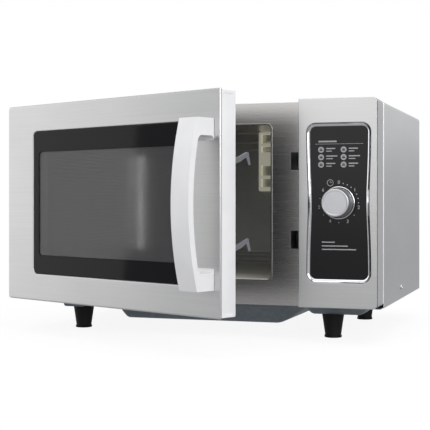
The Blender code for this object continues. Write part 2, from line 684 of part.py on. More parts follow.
def make_choke_cover(hinge):
    """The dark cover over the choke channel, with the hooks' slots and sealing lips."""
    low, high = CORE_EDGE + 0.7, DOOR_W - CORE_EDGE - 0.7
    outline = round_rect((low, low), (high, DOOR_H - low), 2.0)
    window = round_rect((WINDOW_X[0] + 3, WINDOW_Z[0] + 3), (WINDOW_X[1] - 3, WINDOW_Z[1] - 3), 6.0)
    holes = [window]
    for apex in HOOK_APEX:
        holes.append(round_rect((HOOK_X[0] - 2, apex - 26.0), (HOOK_X[1] + 2, apex + 0.5), 1.0, 2))
    cover = plate("choke_cover", "XZ", outline, (CORE_Y[1] + GAP, DOOR_T), holes)
    for z in (LIP_Z, DOOR_H - LIP_Z - LIP_THICK):
        lip = box("lip", (14.0, DOOR_T - 1.0, z), (high - 2.0, DOOR_T + 2.7, z + LIP_THICK))
        carve(cover, lip, "UNION")
    cut_hinge_room(cover)
    return finish_part(cover, GREY_PLASTIC, hinge)


def make_handle(hinge):
    """The bowed pull handle with a foot at each end."""
    middle = (HANDLE_Z[0] + HANDLE_Z[1]) / 2
    half = (HANDLE_Z[1] - HANDLE_Z[0]) / 2

    def front(z):
        return -HANDLE_MID + (HANDLE_MID - HANDLE_END) * ((z - middle) / half) ** 2

    steps = 14
    outer = []
    inner = []
    for i in range(steps + 1):
        z = HANDLE_Z[0] + (HANDLE_Z[1] - HANDLE_Z[0]) * i / steps
        outer.append((front(z), z))
    z0, z1 = HANDLE_Z[0] + HANDLE_FOOT, HANDLE_Z[1] - HANDLE_FOOT
    for i in range(steps + 1):
        z = z1 + (z0 - z1) * i / steps
        corner = 5.0 * (1 - math.sqrt(max(0.0, 1 - max(0.0, 1 - min(z - z0, z1 - z) / 5.0) ** 2)))
        inner.append((front(z) + HANDLE_BAR + corner, z))
    outline = [(-GAP, HANDLE_Z[0]), *outer, (-GAP, HANDLE_Z[1]), (-GAP, z1), *inner, (-GAP, z0)]
    grip = plate("door_handle", "YZ", outline, HANDLE_X)
    soften(grip, 1.5)
    return finish_part(grip, SILVER_PLASTIC, hinge, smooth=35)


def hook_outline(apex):
    """One hook in side view, from its root up over the apex and down to the barb."""
    return [(20.0, apex - 21.0), (30.0, apex - 17.0), (46.0, apex - 11.5), (55.5, apex - 6.5),
            (60.0, apex - 16.0), (63.6, apex - 15.0), (60.0, apex - 0.6), (57.6, apex),
            (44.0, apex - 5.8), (20.0, apex - 11.0)]


def make_latch(hinge):
    """The sliding latch plate with both hooks, and its return spring."""
    slide = make_pivot("latch_guide", (HOOK_X[0], 16.0, 40.0), hinge)
    upper, lower = (hook_outline(a) for a in HOOK_APEX)
    outline = [(11.0, 62.0), (20.0, 62.0), *lower, *upper, (20.0, 212.0), (11.0, 212.0)]
    plate_part = plate("latch_plate", "YZ", outline, HOOK_X)
    finish_part(plate_part, SILVER_PLASTIC, slide)

    turns, radius, wire = 7, 3.2, 0.5
    z0, z1 = 30.0, 58.0
    curve = bpy.data.curves.new("latch_spring", "CURVE")
    curve.dimensions = "3D"
    curve.bevel_depth = wire * MM
    curve.bevel_resolution = 2
    curve.use_fill_caps = True
    spline = curve.splines.new("POLY")
    count = turns * 12 + 1
    spline.points.add(count - 1)
    for i in range(count):
        angle = 2 * math.pi * i / 12
        place = point(HOOK_X[0] + 1.8 + radius * math.cos(angle), 15.5 + radius * math.sin(angle),
                      z0 + (z1 - z0) * i / (count - 1))
        spline.points[i].co = (*place, 1.0)
    guide = bpy.data.objects.new("spring_path", curve)
    PARTS.objects.link(guide)
    bpy.context.view_layer.update()
    mesh = bpy.data.meshes.new_from_object(guide.evaluated_get(bpy.context.evaluated_depsgraph_get()))
    bpy.data.objects.remove(guide, do_unlink=True)
    bm = bmesh.new()
    bm.from_mesh(mesh)
    bmesh.ops.remove_doubles(bm, verts=bm.verts[:], dist=0.00001)
    bpy.data.meshes.remove(mesh)
    finish_part(from_bmesh("latch_spring", bm), STEEL, slide, smooth=60)


# ---------------------------------------------------------------- interlock


def make_interlock():
    """The bracket behind the latch slots, with three door switches and their plungers."""
    bracket = box("interlock_bracket", (408.6, 40.0, 55.0), (411.6, 104.0, 214.0))
    finish_part(bracket, BLACK_PLASTIC, BODY)
    switches = (("primary_switch", HOOK_APEX[0] - 12.4), ("secondary_switch", HOOK_APEX[1] - 14.6),
                ("monitor_switch", HOOK_APEX[1] - 3.8))
    for name, z0 in switches:
        z = z0 + 5.1
        case = box(name, (392.0, 68.0, z0), (408.0, 95.8, z0 + 10.2))
        carve(case, box("pocket", (HOOK_X[0] - 0.2, 60.0, z - 2.0), (HOOK_X[0] + 3.8, 76.0, z + 2.0)))
        finish_part(case, BLACK_PLASTIC, BODY)
        axis = make_pivot(f"{name}_axis", (HOOK_X[0] + 1.8, 68.0, z), BODY)
        plunger = box(f"{name}_plunger", (HOOK_X[0] + 0.3, 65.4, z - 1.5), (HOOK_X[0] + 3.3, 73.0, z + 1.5))
        finish_part(plunger, CREAM_PLASTIC, axis)


# ---------------------------------------------------------------- heating and cooling


def make_waveguide():
    """The duct from the magnetron, down beside the cavity and under its floor."""
    wall = 0.9
    flat = ((165.0, 160.0, -9.0), (378.0, 240.0, 6.8))
    riser = ((366.0, 160.0, 1.0), (392.0, 240.0, 100.0))
    duct = box("waveguide", *flat)
    carve(duct, box("riser", *riser), "UNION")
    for low, high in (flat, riser):
        inside = [a + wall for a in low], [b - wall for b in high]
        carve(duct, box("inside", *inside))
    carve(duct, rod("port", "Z", (*ANTENNA, 0.0), 20.0, 12.0))
    carve(duct, rod("shaft_port", "Z", (*ANTENNA, -20.0), 20.0, 4.5, segments=16))
    carve(duct, rod("dome_port", "X", (385.0, 200.0, 60.0), 20.0, 10.0))
    finish_part(duct, ALUMINIUM, BODY)


def make_stirrer():
    """The rotating antenna under the shelf, and the small motor that turns it."""
    axis = make_pivot("stirrer_axis", (*ANTENNA, 0.0), BODY)
    blades = []
    for i in range(48):
        angle = 360.0 * i / 48
        reach = 62.0 if (i // 8) % 2 == 0 else 34.0
        blades.append(arc(ANTENNA, reach, angle, angle, 1)[0])
    wheel = plate("stirrer_antenna", "XY", blades, (14.0, 15.2))
    carve(wheel, rod("shaft", "Z", (*ANTENNA, -8.6), 23.2, 3.0, segments=16), "UNION")
    finish_part(wheel, ALUMINIUM, axis)
    motor = rod("antenna_motor", "Z", (*ANTENNA, -21.5), 12.0, 24.0, segments=24)
    finish_part(motor, ZINC, BODY, smooth=35)


def make_magnetron():
    """The magnetron: a finned block with a dome that reaches into the waveguide."""
    x0, fins, pitch, root = 392.4, 9, 8.4, 20.0
    comb = [(x0, 22.0)]
    top = 98.0
    for i in range(fins):
        x = x0 + i * pitch
        comb += [(x, 22.0), (x + 4.6, 22.0)]
        if i < fins - 1:
            comb += [(x + 4.6, 22.0 + root), (x + pitch, 22.0 + root)]
    width = comb[-1][0]
    comb.append((width, top))
    comb.append((x0, top))
    part = plate("magnetron", "XZ", comb[1:], (160.0, 240.0))
    carve(part, rod("dome", "X", (376.0, 200.0, 60.0), 18.0, 7.5), "UNION")
    finish_part(part, ZINC, BODY)


def make_transformer():
    """The high-voltage transformer: a laminated core with two windings."""
    core = plate("transformer_core", "XZ", round_rect((395.0, 2.0), (490.0, 80.0), 1.0, 2),
                 (272.0, 344.0),
                 [round_rect((412.0, 18.0), (430.0, 64.0), 0.5, 1),
                  round_rect((455.0, 18.0), (473.0, 64.0), 0.5, 1)])
    finish_part(core, IRON, BODY)
    for name, z, finish in (("transformer_primary", 19.0, COPPER), ("transformer_secondary", 42.0, COPPER)):
        coil = plate(name, "XY", round_rect((412.6, 258.0), (472.4, 358.0), 8.0, 3), (z, z + 21.0),
                     [round_rect((429.4, 271.4), (455.6, 344.6), 1.0, 2)])
        finish_part(coil, finish, BODY)


def make_capacitor():
    """The high-voltage capacitor and the strap that holds it down."""
    can = plate("capacitor", "XY", round_rect((424.0, 84.0), (484.0, 124.0), 15.0), (2.0, 92.0))
    finish_part(can, ALUMINIUM, BODY, smooth=35)
    strap = plate("capacitor_clamp", "XY", round_rect((422.4, 82.4), (485.6, 125.6), 16.5), (40.0, 54.0),
                  [round_rect((423.7, 83.7), (484.3, 124.3), 15.3)])
    finish_part(strap, ZINC, BODY, smooth=35)


def make_fan():
    """The cooling fan at the rear: motor, blade wheel and the duct plate round it."""
    axis = make_pivot("fan_axis", (FAN[0], 350.0, FAN[1]), BODY)
    hub = rod("fan_blade", "Y", (FAN[0], 344.0, FAN[1]), 18.0, 11.0, segments=20)
    for i in range(5):
        blade = box("blade", (8.0, -8.0, -1.0), (FAN_R - 2.0, 8.0, 1.0))
        tilt = Matrix.Rotation(math.radians(30), 4, "X")
        turn = Matrix.Rotation(math.radians(72.0 * i), 4, "Y")
        blade.data.transform(Matrix.Translation(point(FAN[0], 353.0, FAN[1])) @ turn @ tilt)
        carve(hub, blade, "UNION")
    carve(hub, rod("shaft", "Y", (FAN[0], 330.0, FAN[1]), 16.0, 2.5, segments=16), "UNION")
    finish_part(hub, WHITE_PLASTIC, axis)

    motor = box("fan_motor", (FAN[0] - 26.0, 296.0, FAN[1] - 26.0), (FAN[0] + 26.0, 332.0, FAN[1] + 26.0))
    soften(motor, 3.0)
    carve(motor, rod("bore", "Y", (FAN[0], 326.0, FAN[1]), 10.0, 3.2, segments=16))
    finish_part(motor, IRON, BODY)

    duct = plate("fan_duct", "XZ", round_rect((380.0, 128.0), (506.0, 252.0), 3.0, 2), (342.0, 384.0),
                 [circle(FAN, FAN_R + 2.0, 40)])
    finish_part(duct, BLACK_PLASTIC, BODY, smooth=35)


def make_lamp():
    """The oven lamp and its holder behind the cavity's rear wall."""
    holder = box("lamp_holder", (286.0, 380.0, 182.0), (318.0, 388.3, 212.0))
    finish_part(holder, CERAMIC, BODY)
    bulb = [(0, 12.0), (3.5, 11.0), (5.2, 8.0), (5.2, 4.0), (3.0, 0.0), (0, 0.0)]
    lamp = turned("oven_lamp", "Y", (302.0, 379.7, 197.0), [(r, -h) for r, h in bulb][::-1], 20)
    finish_part(lamp, CLEAR_PLASTIC, BODY, smooth=40)


def make_filter_board():
    """The mains noise filter board on the base behind the cord inlet."""
    board = box("filter_board", (400.0, 128.0, 108.0), (500.0, 150.0, 110.0))
    finish_part(board, BOARD_GREEN, BODY)


def stand_on_ground():
    """Move the assembly so that the origin is under its middle, at the feet's bottoms."""
    bpy.context.view_layer.update()
    graph = bpy.context.evaluated_depsgraph_get()
    corners = []
    for part in PARTS.objects:
        if part.type == "MESH":
            shape = part.evaluated_get(graph)
            corners += [shape.matrix_world @ v.co for v in shape.data.vertices]
    low = [min(c[i] for c in corners) for i in range(3)]
    high = [max(c[i] for c in corners) for i in range(3)]
    BODY.location = (-(low[0] + high[0]) / 2, -(low[1] + high[1]) / 2, -low[2])
    bpy.context.view_layer.update()


clear_scene()
PARTS = bpy.data.collections.new("microwave_oven")
bpy.context.scene.collection.children.link(PARTS)
BODY = make_pivot("oven_origin", (0.0, 0.0, 0.0))

make_wrapper()
make_base_pan()
make_rear_panel()
make_front_frame()
make_cavity_liner()
make_ceramic_shelf()
make_lamp_cover()
make_feet()
make_hinges()
make_rear_fittings()
make_fascia()
make_timer()
make_interlock()
make_waveguide()
make_stirrer()
make_magnetron()
make_transformer()
make_capacitor()
make_fan()
make_lamp()
make_filter_board()

DOOR = make_pivot("door_hinge", (*HINGE, DOOR_H / 2), BODY, (0.0, 0.0, math.radians(-DOOR_ANGLE)))
make_door_skin(DOOR)
make_door_core(DOOR)
make_hinge_lugs(DOOR)
make_door_panes(DOOR)
make_choke_cover(DOOR)
make_handle(DOOR)
make_latch(DOOR)
stand_on_ground()
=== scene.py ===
"""Looks of a countertop commercial microwave oven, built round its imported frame.

Sizes are millimetres in the oven's own drawing frame: X from the cabinet's left side, Y back from
the closed door's front face, Z up from the bottom edge of the control fascia. DrawingSpace and
DoorSpace turn them into the frame's metres.
"""
import json
import logging
import math
from dataclasses import dataclass, field
from enum import Enum

import bmesh
import bpy
import numpy as np
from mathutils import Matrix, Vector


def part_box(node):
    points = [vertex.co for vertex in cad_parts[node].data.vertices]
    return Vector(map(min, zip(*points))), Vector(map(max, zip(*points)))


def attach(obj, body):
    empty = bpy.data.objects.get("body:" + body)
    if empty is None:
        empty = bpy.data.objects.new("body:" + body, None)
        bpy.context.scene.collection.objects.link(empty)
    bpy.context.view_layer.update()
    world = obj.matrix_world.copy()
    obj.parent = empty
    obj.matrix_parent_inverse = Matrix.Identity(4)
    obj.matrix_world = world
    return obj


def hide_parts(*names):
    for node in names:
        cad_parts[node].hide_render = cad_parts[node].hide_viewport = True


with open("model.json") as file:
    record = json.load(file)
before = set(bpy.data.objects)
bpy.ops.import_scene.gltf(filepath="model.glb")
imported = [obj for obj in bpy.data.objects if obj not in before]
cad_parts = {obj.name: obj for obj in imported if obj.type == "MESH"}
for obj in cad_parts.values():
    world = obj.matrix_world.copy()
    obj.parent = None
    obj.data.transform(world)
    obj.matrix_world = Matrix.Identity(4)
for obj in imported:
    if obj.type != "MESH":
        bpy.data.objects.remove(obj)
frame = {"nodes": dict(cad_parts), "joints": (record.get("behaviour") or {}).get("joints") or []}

LOG = logging.getLogger("oven")
MM = 0.001
KNOB_AXIS = (461.5, 134.2)  # X and Z of the line that the timer turns about
Array = np.ndarray
Socket = bpy.types.NodeSocket


class Body(Enum):
    """The rigid bodies that a piece can ride on."""

    CABINET = "cabinet"
    DOOR = "door"
    LATCH = "latch"
    DIAL = "timer_dial"


# ---------------------------------------------------------------- colours and nodes


def linear(code: str) -> tuple[float, float, float, float]:
    """Turn an sRGB hex colour into linear RGBA.

    Each channel c becomes c / 12.92 below 0.04045 and ((c + 0.055) / 1.055) ** 2.4 above it.

    Args:
        code: The colour as "#rrggbb".

    Returns:
        The linear red, green, blue and an alpha of 1.
    """
    channels = np.array([int(code[i:i + 2], 16) for i in (1, 3, 5)]) / 255
    curve = np.where(channels <= 0.04045, channels / 12.92, ((channels + 0.055) / 1.055) ** 2.4)
    return (*curve.tolist(), 1.0)


def toned(code: str, share: float, step: int = 0) -> str:
    """Make a hex colour darker or lighter.

    Each channel v from 0 to 255 becomes v * share + step, held between 0 and 255.

    Args:
        code: The colour as "#rrggbb".
        share: What each channel is multiplied by.
        step: What is added to it after that.

    Returns:
        The new colour as "#rrggbb".
    """
    levels = [int(int(code[i:i + 2], 16) * share) + step for i in (1, 3, 5)]
    return "#" + "".join(f"{min(max(level, 0), 255):02x}" for level in levels)


def add_node(tree: bpy.types.NodeTree, kind: str, settings: dict | None = None,
             links: dict | None = None) -> bpy.types.Node:
    """Add a shader node with its settings and links.

    Args:
        tree: The node tree that gets the node.
        kind: Blender's name of the node type.
        settings: Values by name; a lower-case name is a property, any other key is an input.
        links: Output sockets by the input that each one feeds.

    Returns:
        The new node.
    """
    node = tree.nodes.new(kind)
    for key, value in (settings or {}).items():
        if isinstance(key, str) and key[0].islower():
            setattr(node, key, value)
        else:
            node.inputs[key].default_value = value
    for key, source in (links or {}).items():
        tree.links.new(source, node.inputs[key])
    return node


def pattern_space(tree: bpy.types.NodeTree, size: tuple[float, float, float],
                  turn: float = 0.0, centre: tuple[float, float, float] = (0, 0, 0)) -> Socket:
    """Object coordinates counted in pattern sizes.

    Args:
        tree: The node tree.
        size: The pattern's size along the three axes, in millimetres.
        turn: How far the pattern's axes are turned about Z, in degrees.
        centre: The pattern's centre, in metres.

    Returns:
        The vector output to feed a texture with.
    """
    coordinates = add_node(tree, "ShaderNodeTexCoord")
    settings = {"vector_type": "TEXTURE", "Location": centre,
                "Rotation": (0.0, 0.0, math.radians(turn)), "Scale": [s * MM for s in size]}
    place = add_node(tree, "ShaderNodeMapping", settings, {"Vector": coordinates.outputs["Object"]})
    return place.outputs["Vector"]


def ramp(tree: bpy.types.NodeTree, source: Socket, low: str, high: str) -> Socket:
    """Mix two colours by a value from 0 to 1.

    Args:
        tree: The node tree.
        source: The output socket with the value.
        low: Hex colour at 0.
        high: Hex colour at 1.

    Returns:
        The colour output.
    """
    settings = {"data_type": "RGBA", 6: linear(low), 7: linear(high)}
    return add_node(tree, "ShaderNodeMix", settings, {0: source}).outputs[2]


def spread(tree: bpy.types.NodeTree, source: Socket, low: float, high: float,
           start: float = 0.25, stop: float = 0.75) -> Socket:
    """Stretch a value from a source range to low...high.

    Args:
        tree: The node tree.
        source: The output socket with the value.
        low: Result at start.
        high: Result at stop.
        start: Lower end of the source range.
        stop: Upper end of the source range.

    Returns:
        The value output.
    """
    settings = {"From Min": start, "From Max": stop, "To Min": low, "To Max": high}
    return add_node(tree, "ShaderNodeMapRange", settings, {"Value": source}).outputs[0]


def calculate(tree: bpy.types.NodeTree, operation: str, first: Socket,
              second: float | Socket = 0.0) -> Socket:
    """One arithmetic step on a value.

    Args:
        tree: The node tree.
        operation: Blender's name of the operation.
        first: The output socket with the first value.
        second: A number or the output socket with the second value.

    Returns:
        The value output.
    """
    linked = {0: first}
    settings = {"operation": operation}
    if isinstance(second, (int, float)):
        settings[1] = float(second)
    else:
        linked[1] = second
    return add_node(tree, "ShaderNodeMath", settings, linked).outputs[0]


def reckon(tree: bpy.types.NodeTree, operation: str, first: Socket,
           second: tuple[float, float, float] = (0.0, 0.0, 0.0)) -> Socket:
    """One step of vector arithmetic.

    Args:
        tree: The node tree.
        operation: Blender's name of the operation.
        first: The output socket with the vector.
        second: The constant second vector.

    Returns:
        The node's vector output, or its value output for a length.
    """
    node = add_node(tree, "ShaderNodeVectorMath", {"operation": operation, 1: second}, {0: first})
    return node.outputs["Value"] if operation == "LENGTH" else node.outputs["Vector"]


def grain(tree: bpy.types.NodeTree, space: Socket, detail: float = 3.0,
          rough: float = 0.55) -> Socket:
    """Cloudy noise of size 1 in the given space; returns its value output."""
    settings = {"Scale": 1.0, "Detail": detail, "Roughness": rough}
    return add_node(tree, "ShaderNodeTexNoise", settings, {"Vector": space}).outputs[0]


def bump(tree: bpy.types.NodeTree, height: Socket, depth: float, strength: float = 1.0) -> Socket:
    """Turn a height from 0 to 1 into a normal.

    Args:
        tree: The node tree.
        height: The output socket with the height.
        depth: Depth of the relief in millimetres.
        strength: How much of it shows.

    Returns:
        The normal output.
    """
    settings = {"Strength": strength, "Distance": depth * MM}
    return add_node(tree, "ShaderNodeBump", settings, {"Height": height}).outputs["Normal"]


# ---------------------------------------------------------------- finishes


@dataclass(frozen=True)
class Finish:
    """What every finish shares: its name, its colour and how it scatters light."""

    name: str
    colour: str = "#808080"
    roughness: float = 0.5
    metallic: float = 0.0

    def material(self) -> bpy.types.Material:
        """Make the material once, and return the same one after that.

        Returns:
            The material.
        """
        made = bpy.data.materials.get(self.name)
        if made is None:
            made = bpy.data.materials.new(self.name)
            made.use_nodes = True
            tree = made.node_tree
            tree.nodes.clear()
            settings = {"Base Color": linear(self.colour), "Roughness": self.roughness,
                        "Metallic": self.metallic}
            shader = add_node(tree, "ShaderNodeBsdfPrincipled", settings)
            surface = self.surface(tree, shader)
            add_node(tree, "ShaderNodeOutputMaterial", links={"Surface": surface})
        return made

    def surface(self, tree: bpy.types.NodeTree, shader: bpy.types.Node) -> Socket:
        """The surface output of a finish without a pattern: the plain shader."""
        return shader.outputs[0]

    def feed(self, tree: bpy.types.NodeTree, shader: bpy.types.Node, **sources: Socket) -> None:
        """Link the pattern to the shader.

        Args:
            tree: The material's node tree.
            shader: Its principled shader.
            sources: Pattern outputs by the input's name, with underscores for spaces.
        """
        for name, source in sources.items():
            tree.links.new(source, shader.inputs[name.replace("_", " ").title()])


@dataclass(frozen=True)
class BrushedStainless(Finish):
    """Stainless steel sheet with a brushed finish: long fine scratches along one direction.

    The eye gets a soft wide sheen with streaks along the grain. The real scratches are about
    0.05 mm apart; they are drawn 0.7 mm apart so that they show.
    """

    colour: str = "#d0d0cf"
    roughness: float = 0.36
    metallic: float = 1.0
    along: float = 170.0
    across: float = 0.7
    turn: float = 0.0
    contrast: int = 7

    def surface(self, tree: bpy.types.NodeTree, shader: bpy.types.Node) -> Socket:
        """Streaks in colour, roughness and relief, with soft clouds over them.

        Args:
            tree: The material's node tree.
            shader: Its principled shader.

        Returns:
            The surface output.
        """
        space = pattern_space(tree, (self.along, self.across, self.across), self.turn)
        streaks = grain(tree, space, 4.0, 0.6)
        clouds = grain(tree, pattern_space(tree, (150.0, 150.0, 60.0), self.turn), 2.0)
        both = add_node(tree, "ShaderNodeMix", {0: 0.35}, {2: streaks, 3: clouds}).outputs[0]
        tone = spread(tree, both, 0.0, 1.0, 0.35, 0.65)
        dark = toned(self.colour, 1.0, -self.contrast)
        light = toned(self.colour, 1.0, self.contrast // 2)
        self.feed(tree, shader, base_color=ramp(tree, tone, dark, light),
                  roughness=spread(tree, streaks, self.roughness * 0.92, self.roughness * 1.1),
                  normal=bump(tree, streaks, 0.015, 0.05))
        return shader.outputs[0]


@dataclass(frozen=True)
class GalvanisedSheet(Finish):
    """Zinc-coated sheet: crystals of a few millimetres, each a little lighter or darker."""

    colour: str = "#9a9da0"
    roughness: float = 0.42
    metallic: float = 1.0
    spangle: float = 5.0
    dark: str = "#85888b"

    def surface(self, tree: bpy.types.NodeTree, shader: bpy.types.Node) -> Socket:
        """Crystals give each patch its own tone and roughness.

        Args:
            tree: The material's node tree.
            shader: Its principled shader.

        Returns:
            The surface output.
        """
        space = pattern_space(tree, (self.spangle,) * 3)
        cells = add_node(tree, "ShaderNodeTexVoronoi", {"Scale": 1.0}, {"Vector": space})
        shade = calculate(tree, "FRACT", calculate(tree, "MULTIPLY", cells.outputs["Color"], 3.0))
        blur = grain(tree, pattern_space(tree, (70.0,) * 3), 2.0)
        mixed = add_node(tree, "ShaderNodeMix", {0: 0.5}, {2: shade, 3: blur}).outputs[0]
        self.feed(tree, shader, base_color=ramp(tree, mixed, self.dark, self.colour),
                  roughness=spread(tree, mixed, self.roughness - 0.07, self.roughness + 0.07, 0, 1))
        return shader.outputs[0]


@dataclass(frozen=True)
class MouldedPlastic(Finish):
    """Injection-moulded plastic with the fine eroded grain of its mould.

    The real grain is about 0.2 mm; it is drawn at its own size where a part is small and coarser
    where it is large. It breaks up the highlights and gives edges a soft sheen.
    """

    roughness: float = 0.4
    texture: float = 0.6
    relief: float = 0.02
    coat: float = 0.0
    glow: float = 0.0  # painted glow: emission that lights the cover and the cavity round it; the lamp gives no light

    def surface(self, tree: bpy.types.NodeTree, shader: bpy.types.Node) -> Socket:
        """Fine relief, and slow changes of gloss as left by handling.

        Args:
            tree: The material's node tree.
            shader: Its principled shader.

        Returns:
            The surface output.
        """
        # painted glow: emission in the plastic's own colour, at the strength given above
        shader.inputs["Emission Color"].default_value = linear(self.colour)
        shader.inputs["Emission Strength"].default_value = self.glow
        shader.inputs["Coat Weight"].default_value = self.coat
        shader.inputs["Coat Roughness"].default_value = 0.12
        fine = grain(tree, pattern_space(tree, (self.texture,) * 3), 2.0)
        slow = grain(tree, pattern_space(tree, (45.0,) * 3), 2.0)
        self.feed(tree, shader, base_color=ramp(tree, slow, toned(self.colour, 0.94, -1), self.colour),
                  roughness=spread(tree, slow, self.roughness - 0.04, self.roughness + 0.06),
                  normal=bump(tree, fine, self.relief, 0.4))
        return shader.outputs[0]


@dataclass(frozen=True)
class PolishedChrome(Finish):
    """Chrome plating on moulded trim: a mirror with the faintest haze."""

    colour: str = "#dcdcde"
    roughness: float = 0.1
    metallic: float = 1.0

    def surface(self, tree: bpy.types.NodeTree, shader: bpy.types.Node) -> Socket:
        """Haze in slow patches.

        Args:
            tree: The material's node tree.
            shader: Its principled shader.

        Returns:
            The surface output.
        """
        slow = grain(tree, pattern_space(tree, (18.0,) * 3), 3.0)
        self.feed(tree, shader, roughness=spread(tree, slow, self.roughness - 0.04, self.roughness + 0.08))
        return shader.outputs[0]


@dataclass(frozen=True)
class SatinTurned(Finish):
    """Metallised knob face, turned: fine rings round its axis catch the light as a fan."""

    colour: str = "#c9cacc"
    roughness: float = 0.33
    metallic: float = 0.85
    axis: tuple[float, float, float] = (0.0, 0.0, 0.0)
    pitch: float = 0.5

    def surface(self, tree: bpy.types.NodeTree, shader: bpy.types.Node) -> Socket:
        """Rings from the distance to the axis.

        Args:
            tree: The material's node tree.
            shader: Its principled shader.

        Returns:
            The surface output.
        """
        flat = reckon(tree, "MULTIPLY", pattern_space(tree, (self.pitch,) * 3, 0, self.axis), (1, 0, 1))
        rings = calculate(tree, "SINE", calculate(tree, "MULTIPLY", reckon(tree, "LENGTH", flat),
                                                    math.tau))
        height = spread(tree, rings, 0.0, 1.0, -1.0, 1.0)
        self.feed(tree, shader, base_color=ramp(tree, height, "#bcbdbf", self.colour),
                  normal=bump(tree, height, 0.02, 0.3))
        return shader.outputs[0]


@dataclass(frozen=True)
class OverlayFilm(Finish):
    """Black polyester film of a control overlay, glossy with a fine orange-peel."""

    colour: str = "#0c0c0d"
    roughness: float = 0.2

    def surface(self, tree: bpy.types.NodeTree, shader: bpy.types.Node) -> Socket:
        """A low relief that softens the reflections.

        Args:
            tree: The material's node tree.
            shader: Its principled shader.

        Returns:
            The surface output.
        """
        shader.inputs["Specular IOR Level"].default_value = 0.28
        peel = grain(tree, pattern_space(tree, (2.5,) * 3), 2.0)
        self.feed(tree, shader, base_color=ramp(tree, peel, "#0a0a0b", "#111112"),
                  normal=bump(tree, peel, 0.01, 0.3))
        return shader.outputs[0]


@dataclass(frozen=True)
class ScreenInk(Finish):
    """Screen-printed ink: flat colour with the slight unevenness of the print."""

    colour: str = "#e9e9e9"
    roughness: float = 0.55

    def surface(self, tree: bpy.types.NodeTree, shader: bpy.types.Node) -> Socket:
        """Density changes over a few tenths of a millimetre.

        Args:
            tree: The material's node tree.
            shader: Its principled shader.

        Returns:
            The surface output.
        """
        ink = grain(tree, pattern_space(tree, (0.8,) * 3), 2.0)
        self.feed(tree, shader, base_color=ramp(tree, ink, toned(self.colour, 0.88), self.colour))
        return shader.outputs[0]


@dataclass(frozen=True)
class WindowZone:
    """The rounded rectangle of a window's see-through middle, in the door's own directions."""

    centre: tuple[float, float, float] = (0.0, 0.0, 0.0)
    half: tuple[float, float] = (132.0, 70.0)
    corner: float = 5.0
    turn: float = 0.0

    def outside(self, tree: bpy.types.NodeTree) -> Socket:
        """A mask that is 0 in the zone and 1 outside it.

        The distance to the rounded rectangle is the length of max(|p| - half + corner, 0), less
        the corner's radius.

        Args:
            tree: The node tree.

        Returns:
            The value output.
        """
        place = reckon(tree, "MULTIPLY", pattern_space(tree, (1, 1, 1), self.turn, self.centre), (1, 0, 1))
        over = reckon(tree, "SUBTRACT", reckon(tree, "ABSOLUTE", place),
                      (self.half[0] - self.corner, 1.0, self.half[1] - self.corner))
        distance = reckon(tree, "LENGTH", reckon(tree, "MAXIMUM", over))
        return spread(tree, distance, 0.0, 1.0, self.corner - 0.3, self.corner + 0.3)


@dataclass(frozen=True)
class BorderedGlass(Finish):
    """Toughened float glass with a black ceramic border fired on, and a smoked middle."""

    colour: str = "#08090a"
    roughness: float = 0.03
    zone: WindowZone = field(default_factory=WindowZone)
    smoke: float = 0.2

    def surface(self, tree: bpy.types.NodeTree, shader: bpy.types.Node) -> Socket:
        """The border is opaque; the middle lets part of the light straight through.

        Args:
            tree: The material's node tree.
            shader: Its principled shader.

        Returns:
            The surface output.
        """
        haze = grain(tree, pattern_space(tree, (60.0,) * 3), 2.0)
        self.feed(tree, shader, roughness=spread(tree, haze, self.roughness, self.roughness + 0.03))
        shader.inputs["Specular IOR Level"].default_value = 0.16
        clear = add_node(tree, "ShaderNodeBsdfTransparent", {"Color": linear("#ededed")})
        cover = spread(tree, self.zone.outside(tree), self.smoke, 1.0, 0.0, 1.0)
        mixed = add_node(tree, "ShaderNodeMixShader", links={0: cover, 1: clear.outputs[0],
                                                             2: shader.outputs[0]})
        return mixed.outputs[0]


@dataclass(frozen=True)
class PerforatedSteel(Finish):
    """Enamelled steel screen with staggered round holes in its middle.

    The real holes are about 1.2 mm across and 1.6 mm apart; they are drawn 2.1 mm apart.
    """

    colour: str = "#b6b5b6"
    roughness: float = 0.07
    metallic: float = 0.6
    pitch: float = 2.1
    hole: float = 0.31
    zone: WindowZone = field(default_factory=WindowZone)

    def row_distance(self, tree: bpy.types.NodeTree, shift: tuple[float, float, float]) -> Socket:
        """Distance to the nearest hole centre of one square lattice, in pitches.

        A centre repeats every pitch along X and every root-three pitches up: the fraction of
        the place, less a half, stretched back and measured.

        Args:
            tree: The node tree.
            shift: The lattice's shift, in repeats.

        Returns:
            The value output.
        """
        tall = math.sqrt(3.0)
        size = (self.pitch, self.pitch, self.pitch * tall)
        place = pattern_space(tree, size, self.zone.turn, self.zone.centre)
        cell = reckon(tree, "FRACTION", reckon(tree, "ADD", place, shift))
        middle = reckon(tree, "SUBTRACT", cell, (0.5, 0.5, 0.5))
        return reckon(tree, "LENGTH", reckon(tree, "MULTIPLY", middle, (1.0, 0.0, tall)))

    def surface(self, tree: bpy.types.NodeTree, shader: bpy.types.Node) -> Socket:
        """Cut the holes with a transparent surface, and leave the rim solid.

        Args:
            tree: The material's node tree.
            shader: Its principled shader.

        Returns:
            The surface output.
        """
        near = calculate(tree, "MINIMUM", self.row_distance(tree, (50.0, 0.0, 50.0)),
                         self.row_distance(tree, (50.5, 0.0, 50.5)))
        metal = spread(tree, near, 0.0, 1.0, self.hole - 0.05, self.hole + 0.05)
        solid = calculate(tree, "MAXIMUM", metal, self.zone.outside(tree))
        clear = add_node(tree, "ShaderNodeBsdfTransparent")
        mixed = add_node(tree, "ShaderNodeMixShader", links={0: solid, 1: clear.outputs[0],
                                                             2: shader.outputs[0]})
        return mixed.outputs[0]


